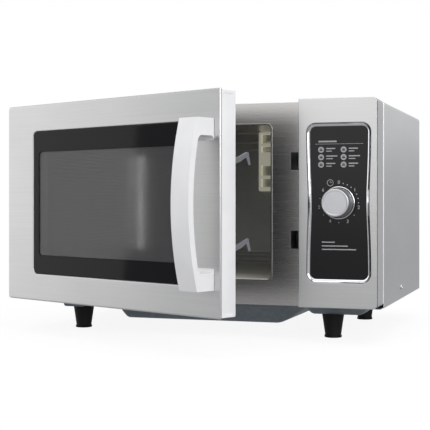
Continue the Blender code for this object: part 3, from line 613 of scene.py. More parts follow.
@dataclass(frozen=True)
class GlassCeramic(Finish):
    """Fired glass-ceramic plate: off-white, smooth, with a faint speckle in its body."""

    colour: str = "#cfcdc4"
    roughness: float = 0.22

    def surface(self, tree: bpy.types.NodeTree, shader: bpy.types.Node) -> Socket:
        """Speckle of about a millimetre.

        Args:
            tree: The material's node tree.
            shader: Its principled shader.

        Returns:
            The surface output.
        """
        speckle = grain(tree, pattern_space(tree, (1.2,) * 3), 3.0, 0.7)
        self.feed(tree, shader, base_color=ramp(tree, spread(tree, speckle, 0, 1, 0.4, 0.6),
                                                "#bdbbb2", self.colour))
        return shader.outputs[0]


@dataclass(frozen=True)
class RubberCompound(Finish):
    """Moulded black rubber: matt, dusty in patches, with a fine pebble."""

    colour: str = "#101010"
    roughness: float = 0.62

    def surface(self, tree: bpy.types.NodeTree, shader: bpy.types.Node) -> Socket:
        """Dust and pebble.

        Args:
            tree: The material's node tree.
            shader: Its principled shader.

        Returns:
            The surface output.
        """
        dust = grain(tree, pattern_space(tree, (9.0,) * 3), 3.0)
        pebble = grain(tree, pattern_space(tree, (0.8,) * 3), 2.0)
        shader.inputs["Specular IOR Level"].default_value = 0.25
        self.feed(tree, shader, base_color=ramp(tree, dust, "#050505", "#0d0d0d"),
                  normal=bump(tree, pebble, 0.05, 0.5))
        return shader.outputs[0]


@dataclass(frozen=True)
class LayeredMetal(Finish):
    """Metal built up in layers: wound enamelled wire or stacked core sheets, seen as fine lines."""

    metallic: float = 0.8
    roughness: float = 0.38
    dark: str = "#202020"
    pitch: float = 1.2
    across: tuple[float, float, float] = (0.0, 0.0, 1.0)

    def surface(self, tree: bpy.types.NodeTree, shader: bpy.types.Node) -> Socket:
        """Lines from a sine of the place across the layers.

        Args:
            tree: The material's node tree.
            shader: Its principled shader.

        Returns:
            The surface output.
        """
        place = reckon(tree, "MULTIPLY", pattern_space(tree, (self.pitch,) * 3), self.across)
        split = add_node(tree, "ShaderNodeSeparateXYZ", links={0: place})
        total = calculate(tree, "ADD", calculate(tree, "ADD", split.outputs[0], split.outputs[1]),
                          split.outputs[2])
        lines = calculate(tree, "SINE", calculate(tree, "MULTIPLY", total, math.tau))
        height = spread(tree, lines, 0.0, 1.0, -1.0, 1.0)
        self.feed(tree, shader, base_color=ramp(tree, height, self.dark, self.colour),
                  normal=bump(tree, height, 0.2, 0.6))
        return shader.outputs[0]


@dataclass(frozen=True)
class CircuitBoard(Finish):
    """Epoxy-glass board under green solder mask, with tinned tracks on a half-millimetre grid."""

    colour: str = "#1d6b3a"
    roughness: float = 0.35

    def surface(self, tree: bpy.types.NodeTree, shader: bpy.types.Node) -> Socket:
        """Tracks as the mortar of a brick pattern.

        Args:
            tree: The material's node tree.
            shader: Its principled shader.

        Returns:
            The surface output.
        """
        space = pattern_space(tree, (14.0,) * 3)
        settings = {"Scale": 2.0, "Mortar Size": 0.03, "Color1": linear("#17592f"),
                    "Color2": linear(self.colour), "Mortar": linear("#5f8f5c")}
        tracks = add_node(tree, "ShaderNodeTexBrick", settings, {"Vector": space})
        self.feed(tree, shader, base_color=tracks.outputs["Color"])
        return shader.outputs[0]


# ---------------------------------------------------------------- places


class DrawingSpace:
    """The oven's drawing frame: turns drawing millimetres into the frame's metres."""

    FASCIA_CORNER = np.array([409.6, 0.0, 0.0])

    def __init__(self) -> None:
        """Take the shift from the fascia sheet's lowest corner."""
        low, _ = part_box("fascia_plate")
        self.shift = np.array(low) / MM - self.FASCIA_CORNER

    def world(self, points: Array) -> Array:
        """Drawing millimetres to world metres: add the shift, then scale."""
        return (np.asarray(points, float) + self.shift) * MM

    def metres(self, x: float, y: float, z: float) -> tuple[float, float, float]:
        """One place as a tuple of metres."""
        return tuple(self.world(np.array([x, y, z])).tolist())


class DoorSpace(DrawingSpace):
    """The door's drawing frame: drawn closed, standing open by the hinge's rest angle."""

    HINGE = np.array([3.5, 27.5, 0.0])

    def __init__(self) -> None:
        """Take the rest angle from the hinge's range."""
        super().__init__()
        joint = next(j for j in frame["joints"] if j["name"] == "door_swing")
        self.turn = float(joint["range_deg"][0])

    def world(self, points: Array) -> Array:
        """Turn about the hinge, then place: a plain rotation in X and Y by the rest angle.

        Args:
            points: Rows of drawing millimetres, as if the door were closed.

        Returns:
            Rows of world metres.
        """
        angle = math.radians(self.turn)
        spin = np.array([[math.cos(angle), -math.sin(angle), 0.0],
                         [math.sin(angle), math.cos(angle), 0.0], [0.0, 0.0, 1.0]])
        turned = (np.asarray(points, float) - self.HINGE) @ spin.T + self.HINGE
        return super().world(turned)


# ---------------------------------------------------------------- shapes


def rounded_rectangle(low: tuple[float, float], high: tuple[float, float],
                      radii: float | tuple[float, ...] | Array, steps: int = 8) -> Array:
    """An outline with rounded corners.

    Each corner is a quarter circle: its centre is the corner moved inwards by the radius, and
    its points are centre + radius * (cos a, sin a) with a going through 90 degrees.

    Args:
        low: Lower left corner.
        high: Upper right corner.
        radii: One radius, or four: bottom left, bottom right, top right, top left.
        steps: Pieces in each quarter circle.

    Returns:
        Points as an array of 4 * (steps + 1) rows, anticlockwise from the bottom left.
    """
    radius = np.broadcast_to(np.asarray(radii, float), (4,))
    corners = np.array([[low[0], low[1]], [high[0], low[1]], [high[0], high[1]], [low[0], high[1]]])
    inward = np.array([[1, 1], [-1, 1], [-1, -1], [1, -1]])
    centres = corners + inward * radius[:, None]
    angles = np.radians(np.array([180, 270, 0, 90])[:, None] + np.linspace(0, 90, steps + 1))
    circle = np.stack([np.cos(angles), np.sin(angles)], axis=-1)
    return (centres[:, None, :] + radius[:, None, None] * circle).reshape(-1, 2)


def quarter(start: tuple[float, float], stop: tuple[float, float], steps: int = 4,
            rising: bool = True) -> Array:
    """A quarter ellipse between two profile points.

    With t from 0 to 90 degrees, the first value moves by sin t and the second by 1 - cos t, or
    the other way round where rising is False.

    Args:
        start: First point.
        stop: Last point.
        steps: Pieces along the curve.
        rising: Whether it sets off along the first value.

    Returns:
        Points as an array of steps + 1 rows.
    """
    t = np.radians(np.linspace(0, 90, steps + 1))
    pair = (np.sin(t), 1 - np.cos(t)) if rising else (1 - np.cos(t), np.sin(t))
    begin, end = np.asarray(start, float), np.asarray(stop, float)
    return begin + (end - begin) * np.stack(pair, axis=-1)


def on_plane(outline: Array, depth: float, plane: str = "XZ") -> Array:
    """Lay a flat outline in a plane at a depth.

    Args:
        outline: Rows of two values.
        depth: Place along the plane's normal.
        plane: "XZ", "XY" or "YZ", the outline's two directions.

    Returns:
        Rows of three values.
    """
    order = {"XZ": (0, 2, 1), "XY": (0, 1, 2), "YZ": (1, 2, 0)}[plane]
    lifted = np.empty((len(outline), 3))
    lifted[:, order[0]] = outline[:, 0]
    lifted[:, order[1]] = outline[:, 1]
    lifted[:, order[2]] = depth
    return lifted


def grid_faces(rows: int, columns: int, close_rows: bool, close_columns: bool) -> Array:
    """Quads over a grid of points, counted row by row.

    Args:
        rows: Rows of points.
        columns: Points in a row.
        close_rows: Whether the last row joins the first.
        close_columns: Whether each row's last point joins its first.

    Returns:
        Indices as an array of four columns.
    """
    i, j = np.meshgrid(np.arange(rows if close_rows else rows - 1),
                       np.arange(columns if close_columns else columns - 1), indexing="ij")
    below, beside = (i + 1) % rows, (j + 1) % columns
    quads = [i * columns + j, i * columns + beside, below * columns + beside, below * columns + j]
    return np.stack(quads, axis=-1).reshape(-1, 4)


class Ends(Enum):
    """How a loft is closed."""

    CAPPED_RINGS = 1  # rings are closed, the first and last are capped
    FRAME = 2  # rings are closed, the last joins the first
    CAPPED_STRIP = 3  # the last ring joins the first, the rings' ends are capped


@dataclass
class Shape:
    """Points in millimetres and the faces over them."""

    points: Array
    faces: list[list[int]]

    @staticmethod
    def loft(rings: Array, ends: Ends) -> "Shape":
        """Skin a stack of matching rings.

        Point (i, j) is point j of ring i; neighbours in both directions make quads.

        Args:
            rings: Array of rings, points and three values.
            ends: How the skin is closed.

        Returns:
            The closed shape, its faces pointing outwards.
        """
        rings = np.asarray(rings, float)
        rows, columns = rings.shape[:2]
        closed_rings = ends is not Ends.CAPPED_STRIP
        quads = grid_faces(rows, columns, ends is not Ends.CAPPED_RINGS, closed_rings)
        faces = quads.tolist()
        if ends is Ends.CAPPED_RINGS:
            faces.append(np.arange(columns)[::-1].tolist())
            faces.append((np.arange(columns) + (rows - 1) * columns).tolist())
        if ends is Ends.CAPPED_STRIP:
            faces.append((np.arange(rows) * columns).tolist())
            faces.append((np.arange(rows) * columns + columns - 1)[::-1].tolist())
        return Shape(rings.reshape(-1, 3), faces).outward()

    @staticmethod
    def prism(outline: Array, depths: tuple[float, float], plane: str = "XZ") -> "Shape":
        """A flat outline made thick: two capped rings."""
        return Shape.loft(np.stack([on_plane(outline, d, plane) for d in depths]), Ends.CAPPED_RINGS)

    @staticmethod
    def turned(profile: Array, centre: tuple[float, float, float] | Array, axis: str = "Y",
               segments: int = 64) -> "Shape":
        """Turn a profile round an axis.

        Point (h, r) goes round as centre + h along the axis + r * (cos a, sin a) across it.

        Args:
            profile: Rows of height along the axis and radius.
            centre: A place on the axis.
            axis: "X", "Y" or "Z".
            segments: Points round the axis.

        Returns:
            The closed shape.
        """
        profile = np.asarray(profile, float)
        angles = np.linspace(0, 2 * np.pi, segments, endpoint=False)
        rings = np.empty((len(profile), segments, 3))
        along, one, other = {"X": (0, 1, 2), "Y": (1, 0, 2), "Z": (2, 0, 1)}[axis]
        rings[..., along] = profile[:, 0, None]
        rings[..., one] = profile[:, 1, None] * np.cos(angles)
        rings[..., other] = profile[:, 1, None] * np.sin(angles)
        return Shape.loft(rings + np.asarray(centre, float), Ends.CAPPED_RINGS)

    @staticmethod
    def joined(shapes: list["Shape"]) -> "Shape":
        """Several shapes as one, with the indices of each moved past the ones before it.

        Args:
            shapes: The shapes.

        Returns:
            One shape with all their points and faces.
        """
        starts = np.cumsum([0] + [len(s.points) for s in shapes])[:-1]
        faces = [[v + int(start) for v in face] for s, start in zip(shapes, starts) for face in s.faces]
        return Shape(np.concatenate([s.points for s in shapes]), faces)

    def outward(self) -> "Shape":
        """Turn the faces round if they enclose a negative volume.

        The volume is the sum of p0 . (p1 x p2) / 6 over the triangles of each face's fan.

        Returns:
            This shape.
        """
        middle = self.points.mean(axis=0)
        fans = [(f[0], f[k], f[k + 1]) for f in self.faces for k in range(1, len(f) - 1)]
        a, b, c = np.moveaxis(self.points[np.array(fans)] - middle, 1, 0)
        if np.einsum("ij,ij->i", a, np.cross(b, c)).sum() < 0:
            self.faces = [face[::-1] for face in self.faces]
        return self

    def piece(self, name: str, space: DrawingSpace, finish: Finish, body: Body, slot: str,
              replaces: tuple[str, ...] = (), sharp: float = 35.0) -> bpy.types.Object:
        """Make the mesh object, dress it and let it ride.

        Args:
            name: The piece's name.
            space: Where the millimetres are drawn.
            finish: Its finish.
            body: The body that it moves with.
            slot: The record's material slot; not used.
            replaces: The frame's nodes that it stands for.
            sharp: Edges that turn by more degrees than this stay sharp.

        Returns:
            The object.
        """
        mesh = bpy.data.meshes.new(name)
        mesh.from_pydata(space.world(self.points).tolist(), [], self.faces)
        mesh.validate()
        return mount(mesh, finish, body, replaces, sharp)


def mount(mesh: bpy.types.Mesh, finish: Finish, body: Body,
          replaces: tuple[str, ...], sharp: float = 35.0) -> bpy.types.Object:
    """Make the object of a mesh, give it its one material and let it ride.

    Args:
        mesh: The mesh, named as the piece will be.
        finish: Its finish.
        body: The body that it moves with.
        replaces: The frame's nodes that it stands for.
        sharp: Edges that turn by more degrees than this stay sharp.

    Returns:
        The object.
    """
    mesh.materials.clear()
    mesh.materials.append(finish.material())
    mesh.polygons.foreach_set("use_smooth", np.ones(len(mesh.polygons), bool))
    mesh.set_sharp_from_angle(angle=math.radians(sharp))
    made = bpy.data.objects.new(mesh.name, mesh)
    bpy.context.scene.collection.objects.link(made)
    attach(made, body.value)
    if replaces:
        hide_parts(*replaces)
    LOG.info("%s: %d points, %s", mesh.name, len(mesh.vertices), finish.name)
    return made


def dress(node: str, finish: Finish) -> None:
    """Give a frame node that keeps its own shape the finish of what it really is.

    Args:
        node: The node's name.
        finish: Its finish.
    """
    mesh = frame["nodes"][node].data
    mesh.materials.clear()
    mesh.materials.append(finish.material())
    LOG.info("%s: kept, %s", node, finish.name)


def round_edges(piece: bpy.types.Object, width: float, segments: int = 3,
                angle: float = 30.0) -> bpy.types.Object:
    """Round a piece's sharp edges with a bevel.

    Args:
        piece: The object.
        width: The bevel's width in millimetres.
        segments: Pieces in the round.
        angle: Edges that turn by more degrees than this are rounded.

    Returns:
        The same object.
    """
    bevel = piece.modifiers.new("rounded_edges", "BEVEL")
    bevel.width = width * MM
    bevel.segments = segments
    bevel.limit_method = "ANGLE"
    bevel.angle_limit = math.radians(angle)
    bevel.harden_normals = True
    return piece


def eased_copy(node: str, name: str, finish: Finish, body: Body,
               width: float = 0.4, segments: int = 2) -> bpy.types.Object:
    """A copy of a frame node with its points merged, its flats joined and its edges rounded.

    Points within 2 micrometres count as one, and faces that turn by less than 0.6 degrees as flat.

    Args:
        node: The node to copy and stand for.
        name: The piece's name.
        finish: Its finish.
        body: The body that it moves with.
        width: The bevel's width in millimetres.
        segments: Pieces in the round.

    Returns:
        The new piece.
    """
    merge, flat = 0.002, 0.6
    mesh = frame["nodes"][node].data.copy()
    mesh.name = name
    work = bmesh.new()
    work.from_mesh(mesh)
    bmesh.ops.remove_doubles(work, verts=work.verts[:], dist=merge * MM)
    bmesh.ops.dissolve_limit(work, angle_limit=math.radians(flat), verts=work.verts[:],
                             edges=work.edges[:])
    work.to_mesh(mesh)
    work.free()
    return round_edges(mount(mesh, finish, body, (node,)), width, segments)


# ---------------------------------------------------------------- sub-assemblies


@dataclass
class Cabinet:
    """The folded outer wrapper, the front frame with its rolled mouth, the hinges and the rear."""

    width: float = 511.0
    top: float = 266.3
    floor: float = -3.1
    sheet: float = 0.9
    front: float = 51.0
    rear: float = 388.9
    bend: float = 4.6
    mouth_low: tuple[float, float] = (30.0, 32.0)
    mouth_high: tuple[float, float] = (364.0, 237.0)
    mouth_corner: float = 5.5
    pin_radius: float = 1.6
    pin_length: float = 10.0
    side_screw: tuple[float, float] = (197.0, 13.5)
    rear_face: float = 389.7
    grommet: tuple[float, float] = (440.0, 40.0)
    space: DrawingSpace = field(default_factory=DrawingSpace)
    steel: Finish = BrushedStainless("brushed_stainless_wrapper", "#cccccb", 0.34)
    frame_steel: Finish = BrushedStainless("brushed_stainless_frame", "#bcbab7", 0.26, contrast=3)
    bead: Finish = BrushedStainless("rolled_stainless_bead", "#7f7e7c", 0.42, contrast=5)
    zinc: Finish = GalvanisedSheet("galvanised_rear_sheet", "#a4a7a9", 0.4, dark="#8b8e91")
    bright: Finish = PolishedChrome("nickel_plated_steel", "#c8c8c8", 0.22)
    rubber: Finish = RubberCompound("moulded_rubber_grommet")

    def folded_path(self, inset: float) -> Array:
        """The wrapper's section seen from the front: up the right side, over and down the left.

        Args:
            inset: How far the path lies inside the outer face.

        Returns:
            Rows of X and Z.
        """
        radius = self.bend - inset
        steps = 8
        corners = rounded_rectangle((inset, self.floor), (self.width - inset, self.top - inset),
                                    (0.01, 0.01, radius, radius), steps)
        arcs = corners[2 * (steps + 1):]  # the two upper corners
        return np.vstack([[self.width - inset, self.floor], arcs, [inset, self.floor]])

    def build_wrapper(self) -> None:
        """One sheet: the path carried round a thin profile that is rolled in at both ends."""
        hem, roll, roll_steps, flat = 0.45, 2.6, 5, self.rear - 4.6
        outer = np.vstack([quarter((hem, self.front), (0.0, self.front + hem), 3, False),
                           [[0.0, self.front + 1.2], [0.0, flat]],
                           quarter((0.0, self.rear - roll), (roll, self.rear), roll_steps, False)])
        inner = outer[::-1][:roll_steps + 1] + [self.sheet, -self.sheet / 2]
        profile = np.vstack([outer, inner, [[self.sheet, flat], [self.sheet, self.front + hem]]])
        rings = np.stack([on_plane(self.folded_path(inset), y) for inset, y in profile])
        Shape.loft(rings, Ends.CAPPED_STRIP).piece(
            "cabinet_wrapper", self.space, self.steel, Body.CABINET, "brushed_steel", ("outer_wrapper",))

    def build_mouth(self) -> None:
        """The plate behind the door, and the raised bead round the oven's mouth."""
        eased_copy("front_frame", "front_frame_plate", self.frame_steel, Body.CABINET,
                   0.25)
        low, high = self.mouth_low, self.mouth_high
        profile = np.array([[0.05, 32.3], [0.05, 31.3], [0.5, 31.0], [1.6, 30.95], [2.3, 31.15],
                            [2.7, 31.45], [2.7, 31.7]])
        rings = [on_plane(rounded_rectangle((low[0] - g, low[1] - g), (high[0] + g, high[1] + g),
                                            self.mouth_corner + g, 6), y) for g, y in profile]
        Shape.loft(np.stack(rings), Ends.FRAME).piece(
            "mouth_bead", self.space, self.bead, Body.CABINET, "brushed_steel")

    def build_hinges(self) -> None:
        """Brackets with eased edges, and pins with rounded ends."""
        ease, radius, tall = 0.4, self.pin_radius, self.pin_length
        tip = radius - ease
        profile = np.vstack([[[0.0, tip]], quarter((0.0, tip), (ease, radius), 3, False),
                             quarter((tall - ease, radius), (tall, tip), 3)])
        for level, base in (("upper", 252.0), ("lower", 5.9)):
            eased_copy(f"{level}_hinge_bracket", f"{level}_bracket_plate", self.bright,
                       Body.CABINET, 0.3)
            Shape.turned(profile, DoorSpace.HINGE + [0.0, 0.0, base], "Z", 32).piece(
                f"{level}_pin_body", self.space, self.bright, Body.CABINET, "bright_steel",
                (f"{level}_hinge_pin",))

    def screw(self, place: tuple[float, float, float], axis: str, out: float, radius: float) -> Shape:
        """A pan-head screw: a domed head with a round driver recess.

        Args:
            place: Middle of the head's seat.
            axis: The screw's axis.
            out: 1 or -1, the direction in which the head stands out.
            radius: The head's radius.

        Returns:
            The shape.
        """
        side, head, bottom = 0.5, 1.7, 0.6  # heights of the rim, the dome and the recess
        dome = quarter((side, radius), (head, radius * 0.55), 5)
        recess = np.array([[head, radius * 0.42], [bottom, radius * 0.3]])
        profile = np.vstack([[[0.0, radius]], dome, recess])
        profile[:, 0] *= out
        return Shape.turned(profile, place, axis, 24)

    def build_fixings(self) -> None:
        """The side screws low on the wrapper, the screws round the rear, and the grommet."""
        side_head, rear_head = 3.6, 3.4
        self.screw((self.width, *self.side_screw), "X", 1, side_head).piece(
            "right_side_screw", self.space, self.bright, Body.CABINET, "bright_steel", ("side_screw",))
        self.screw((0.0, *self.side_screw), "X", -1, side_head).piece(
            "left_side_screw", self.space, self.bright, Body.CABINET, "bright_steel")
        places = [(x, z) for z in (7.0, 258.0) for x in (14.0, 175.0, 336.0, 497.0)]
        heads = [self.screw((x, self.rear_face, z), "Y", 1, rear_head) for x, z in places]
        Shape.joined(heads).piece("rear_screws", self.space, self.bright, Body.CABINET, "bright_steel")
        lip = np.vstack([[[-3.0, 8.7], [0.3, 8.7], [0.3, 12.0]], quarter((1.2, 12.0), (2.1, 11.0), 4),
                         [[2.1, 6.0], [1.4, 5.2], [-3.0, 5.2]]])
        Shape.turned(lip, (self.grommet[0], self.rear_face, self.grommet[1]), "Y", 48).piece(
            "inlet_grommet", self.space, self.rubber, Body.CABINET, "black_plastic", ("cord_grommet",))

    def build(self) -> None:
        """Make every piece of the cabinet."""
        self.build_wrapper()
        self.build_mouth()
        self.build_hinges()
        self.build_fixings()
        dress("rear_panel", self.zinc)


@dataclass(frozen=True)
class Press:
    """A place where the bottom sheet is pressed down: a rectangle with sloping sides."""

    x: tuple[float, float]
    y: tuple[float, float]
    depth: float
    slopes: tuple[float, float, float]  # widths of the left, the right and the other two slopes

    def drop(self, x: Array, y: Array) -> Array:
        """How far the sheet goes down.

        The depth goes from 0 at the rectangle's edge to full over the slope by the smooth step
        t * t * (3 - 2 t), with t the distance to the edge over the slope's width.

        Args:
            x: Places across, any shape.
            y: Places back, the same shape.

        Returns:
            Depths, the same shape.
        """
        left, right, other = self.slopes
        across = 1 - np.minimum((x - self.x[0]) / left, (self.x[1] - x) / right)
        along = 1 - np.minimum((y - self.y[0]) / other, (self.y[1] - y) / other)
        t = np.clip(1 - np.hypot(np.maximum(across, 0), np.maximum(along, 0)), 0, 1)
        return self.depth * t * t * (3 - 2 * t)


@dataclass
class BasePan:
    """The pressed bottom sheet with its smooth well and bosses, and the four feet."""

    sheet: float = 1.0
    floor: float = -2.1
    spacing: float = 3.0
    side_edges: tuple[float, float] = (1.3, 509.7)
    end_edges: tuple[float, float] = (33.0, 388.4)
    foot_columns: tuple[float, float] = (73.4, 439.5)
    foot_rows: tuple[float, float] = (72.0, 300.0)
    foot_top: float = -13.4
    ground: float = -45.6
    well: Press = Press((125.0, 420.0), (34.0, 352.0), 25.0, (26.0, 56.0, 26.0))
    space: DrawingSpace = field(default_factory=DrawingSpace)
    # darker and bluer than bare zinc: partly the sheet's own tone, partly painted shade of the well under
    # the open door
    zinc: Finish = GalvanisedSheet("galvanised_pan", "#7f868b", 0.4, dark="#6a7177")
    rubber: Finish = RubberCompound("moulded_rubber_foot")

    def bosses(self) -> list[Press]:
        """The shallow presses that carry the feet, two on each side."""
        reach, depth = 38.0, 10.0
        return [Press((x - half, x + half), (y - reach, y + reach), depth, (slope, slope, slope))
                for x, half, slope in ((self.foot_columns[0], 18.0, 4.0), (449.0, 46.0, 16.0))
                for y in self.foot_rows]

    def build_pan(self) -> None:
        """A sheet over a grid: the upper and lower faces, joined round the rim."""
        lines = [np.linspace(*ends, round((ends[1] - ends[0]) / self.spacing))
                 for ends in (self.side_edges, self.end_edges)]
        x, y = np.meshgrid(*lines, indexing="ij")
        drop = np.max([press.drop(x, y) for press in [self.well, *self.bosses()]], axis=0)
        top = np.stack([x, y, self.floor - drop], axis=-1)
        under = top - [0.0, 0.0, self.sheet]
        rows, columns = x.shape
        count = rows * columns
        upper = grid_faces(rows, columns, False, False)
        lower = upper[:, ::-1] + count
        index = np.arange(count).reshape(rows, columns)
        rim = np.concatenate([index[0], index[1:, -1], index[-1, -2::-1], index[-2:0:-1, 0]])
        after = np.roll(rim, -1)
        wall = np.stack([after, rim, rim + count, after + count], axis=-1)
        faces = np.vstack([upper, lower, wall]).tolist()
        points = np.vstack([top.reshape(-1, 3), under.reshape(-1, 3)])
        Shape(points, faces).outward().piece(
            "pressed_base_pan", self.space, self.zinc, Body.CABINET, "pan_steel", ("base_pan",), 50.0)

    def build_feet(self) -> None:
        """Tapered feet with a rounded rim at the ground and a screw hole from below."""
        top, ground = self.foot_top, self.ground
        profile = np.vstack([[[top, 14.4], [top - 0.6, 14.9], [top - 6.0, 14.0], [ground + 4.4, 10.8]],
                             quarter((ground + 3.6, 10.8), (ground + 2.8, 11.6), 3),
                             quarter((ground + 0.7, 11.6), (ground, 10.9), 3),
                             [[ground, 6.0], [ground + 0.6, 5.4], [ground + 9.0, 5.0]]])
        for side, x in zip(("left", "right"), self.foot_columns):
            for end, y in zip(("front", "rear"), self.foot_rows):
                Shape.turned(profile, (x, y, 0.0), "Z", 48).piece(
                    f"{end}_{side}_rubber_foot", self.space, self.rubber, Body.CABINET,
                    "foot_rubber", (f"foot_{end}_{side}",))

    def build(self) -> None:
        """Make the pan and the feet."""
        self.build_pan()
        self.build_feet()


@dataclass
class OvenCavity:
    """The stainless oven box, its pressed ribs, the ceramic shelf and the lamp cover."""

    low: tuple[float, float] = (30.0, 27.0)
    high: tuple[float, float] = (364.0, 249.0)
    front: float = 32.8
    back: float = 366.0
    wall: float = 0.8
    corner: float = 5.0
    ribs: tuple[float, ...] = (37.5, 45.0, 51.0, 219.5, 232.0)
    rib_out: float = 1.6
    rib_half: float = 2.0
    space: DrawingSpace = field(default_factory=DrawingSpace)
    steel: Finish = BrushedStainless("stainless_cavity_sheet", "#cdcdca", 0.3, 0.75, contrast=3)
    ceramic: Finish = GlassCeramic("glass_ceramic_shelf")
    # the lamp cover's emission is painted light that brightens the dark cavity
    cream: Finish = MouldedPlastic("moulded_heatproof_cover", "#e2dfcc", 0.42, glow=0.3)

    def section(self, grow: float) -> Array:
        """The box's outline seen from the front, grown outwards."""
        return rounded_rectangle((self.low[0] - grow, self.low[1] - grow),
                                 (self.high[0] + grow, self.high[1] + grow),
                                 max(self.corner + grow, 0.5), 6)

    def build_box(self) -> None:
        """A box open at the front: its outer skin forwards, round the edge, its inner skin back."""
        deep = self.back
        inner = np.vstack([[[0.0, self.front], [0.0, deep - self.corner - 1.0]],
                           quarter((0.0, deep - self.corner), (-self.corner + 0.6, deep), 5, False)])
        outer = inner[::-1] + [self.wall, 0.0]
        outer[:, 1] += np.where(outer[:, 1] > self.front + 1, self.wall, 0.0)
        rings = [on_plane(self.section(grow), y) for grow, y in np.vstack([outer, inner])]
        Shape.loft(np.stack(rings), Ends.CAPPED_RINGS).piece(
            "oven_box", self.space, self.steel, Body.CABINET, "cavity_steel", ("cavity_liner",))

    def build_ribs(self) -> None:
        """Half-round ribs pressed across the rear wall, run out flat at both ends."""
        angles = np.linspace(0, np.pi, 9)
        places = np.array([40.0, 44.0, 350.0, 354.0])
        share = np.array([0.05, 1.0, 1.0, 0.05])[:, None]
        rings = np.empty((len(places), len(angles), 3))
        rings[..., 0] = places[:, None]
        rings[..., 1] = self.back - self.rib_out * np.sin(angles) * share
        rings[..., 2] = -self.rib_half * np.cos(angles) * (0.4 + 0.6 * share)
        bars = [Shape.loft(rings + [0.0, 0.0, z], Ends.CAPPED_RINGS) for z in self.ribs]
        Shape.joined(bars).piece("rear_wall_ribs", self.space, self.steel, Body.CABINET, "cavity_steel")

    def build_shelf(self) -> None:
        """The glass-ceramic plate with ground edges."""
        low, high, edge, thick, top = (30.5, 33.8), (363.5, 365.2), 1.0, 5.0, 32.5
        profile = np.vstack([[[0.6, top - thick], [0.0, top - thick + 0.6]],
                             quarter((0.0, top - edge), (edge, top), 4, False)])
        rings = [on_plane(rounded_rectangle((low[0] + i, low[1] + i), (high[0] - i, high[1] - i),
                                            4.0 - i, 6), z, "XY") for i, z in profile]
        Shape.loft(np.stack(rings), Ends.CAPPED_RINGS).piece(
            "shelf_plate", self.space, self.ceramic, Body.CABINET, "shelf_ceramic", ("ceramic_shelf",))

    def build(self) -> None:
        """Make every piece of the cavity."""
        self.build_box()
        self.build_ribs()
        self.build_shelf()
        eased_copy("lamp_cover", "slatted_lamp_cover", self.cream, Body.CABINET, 0.5, 3)


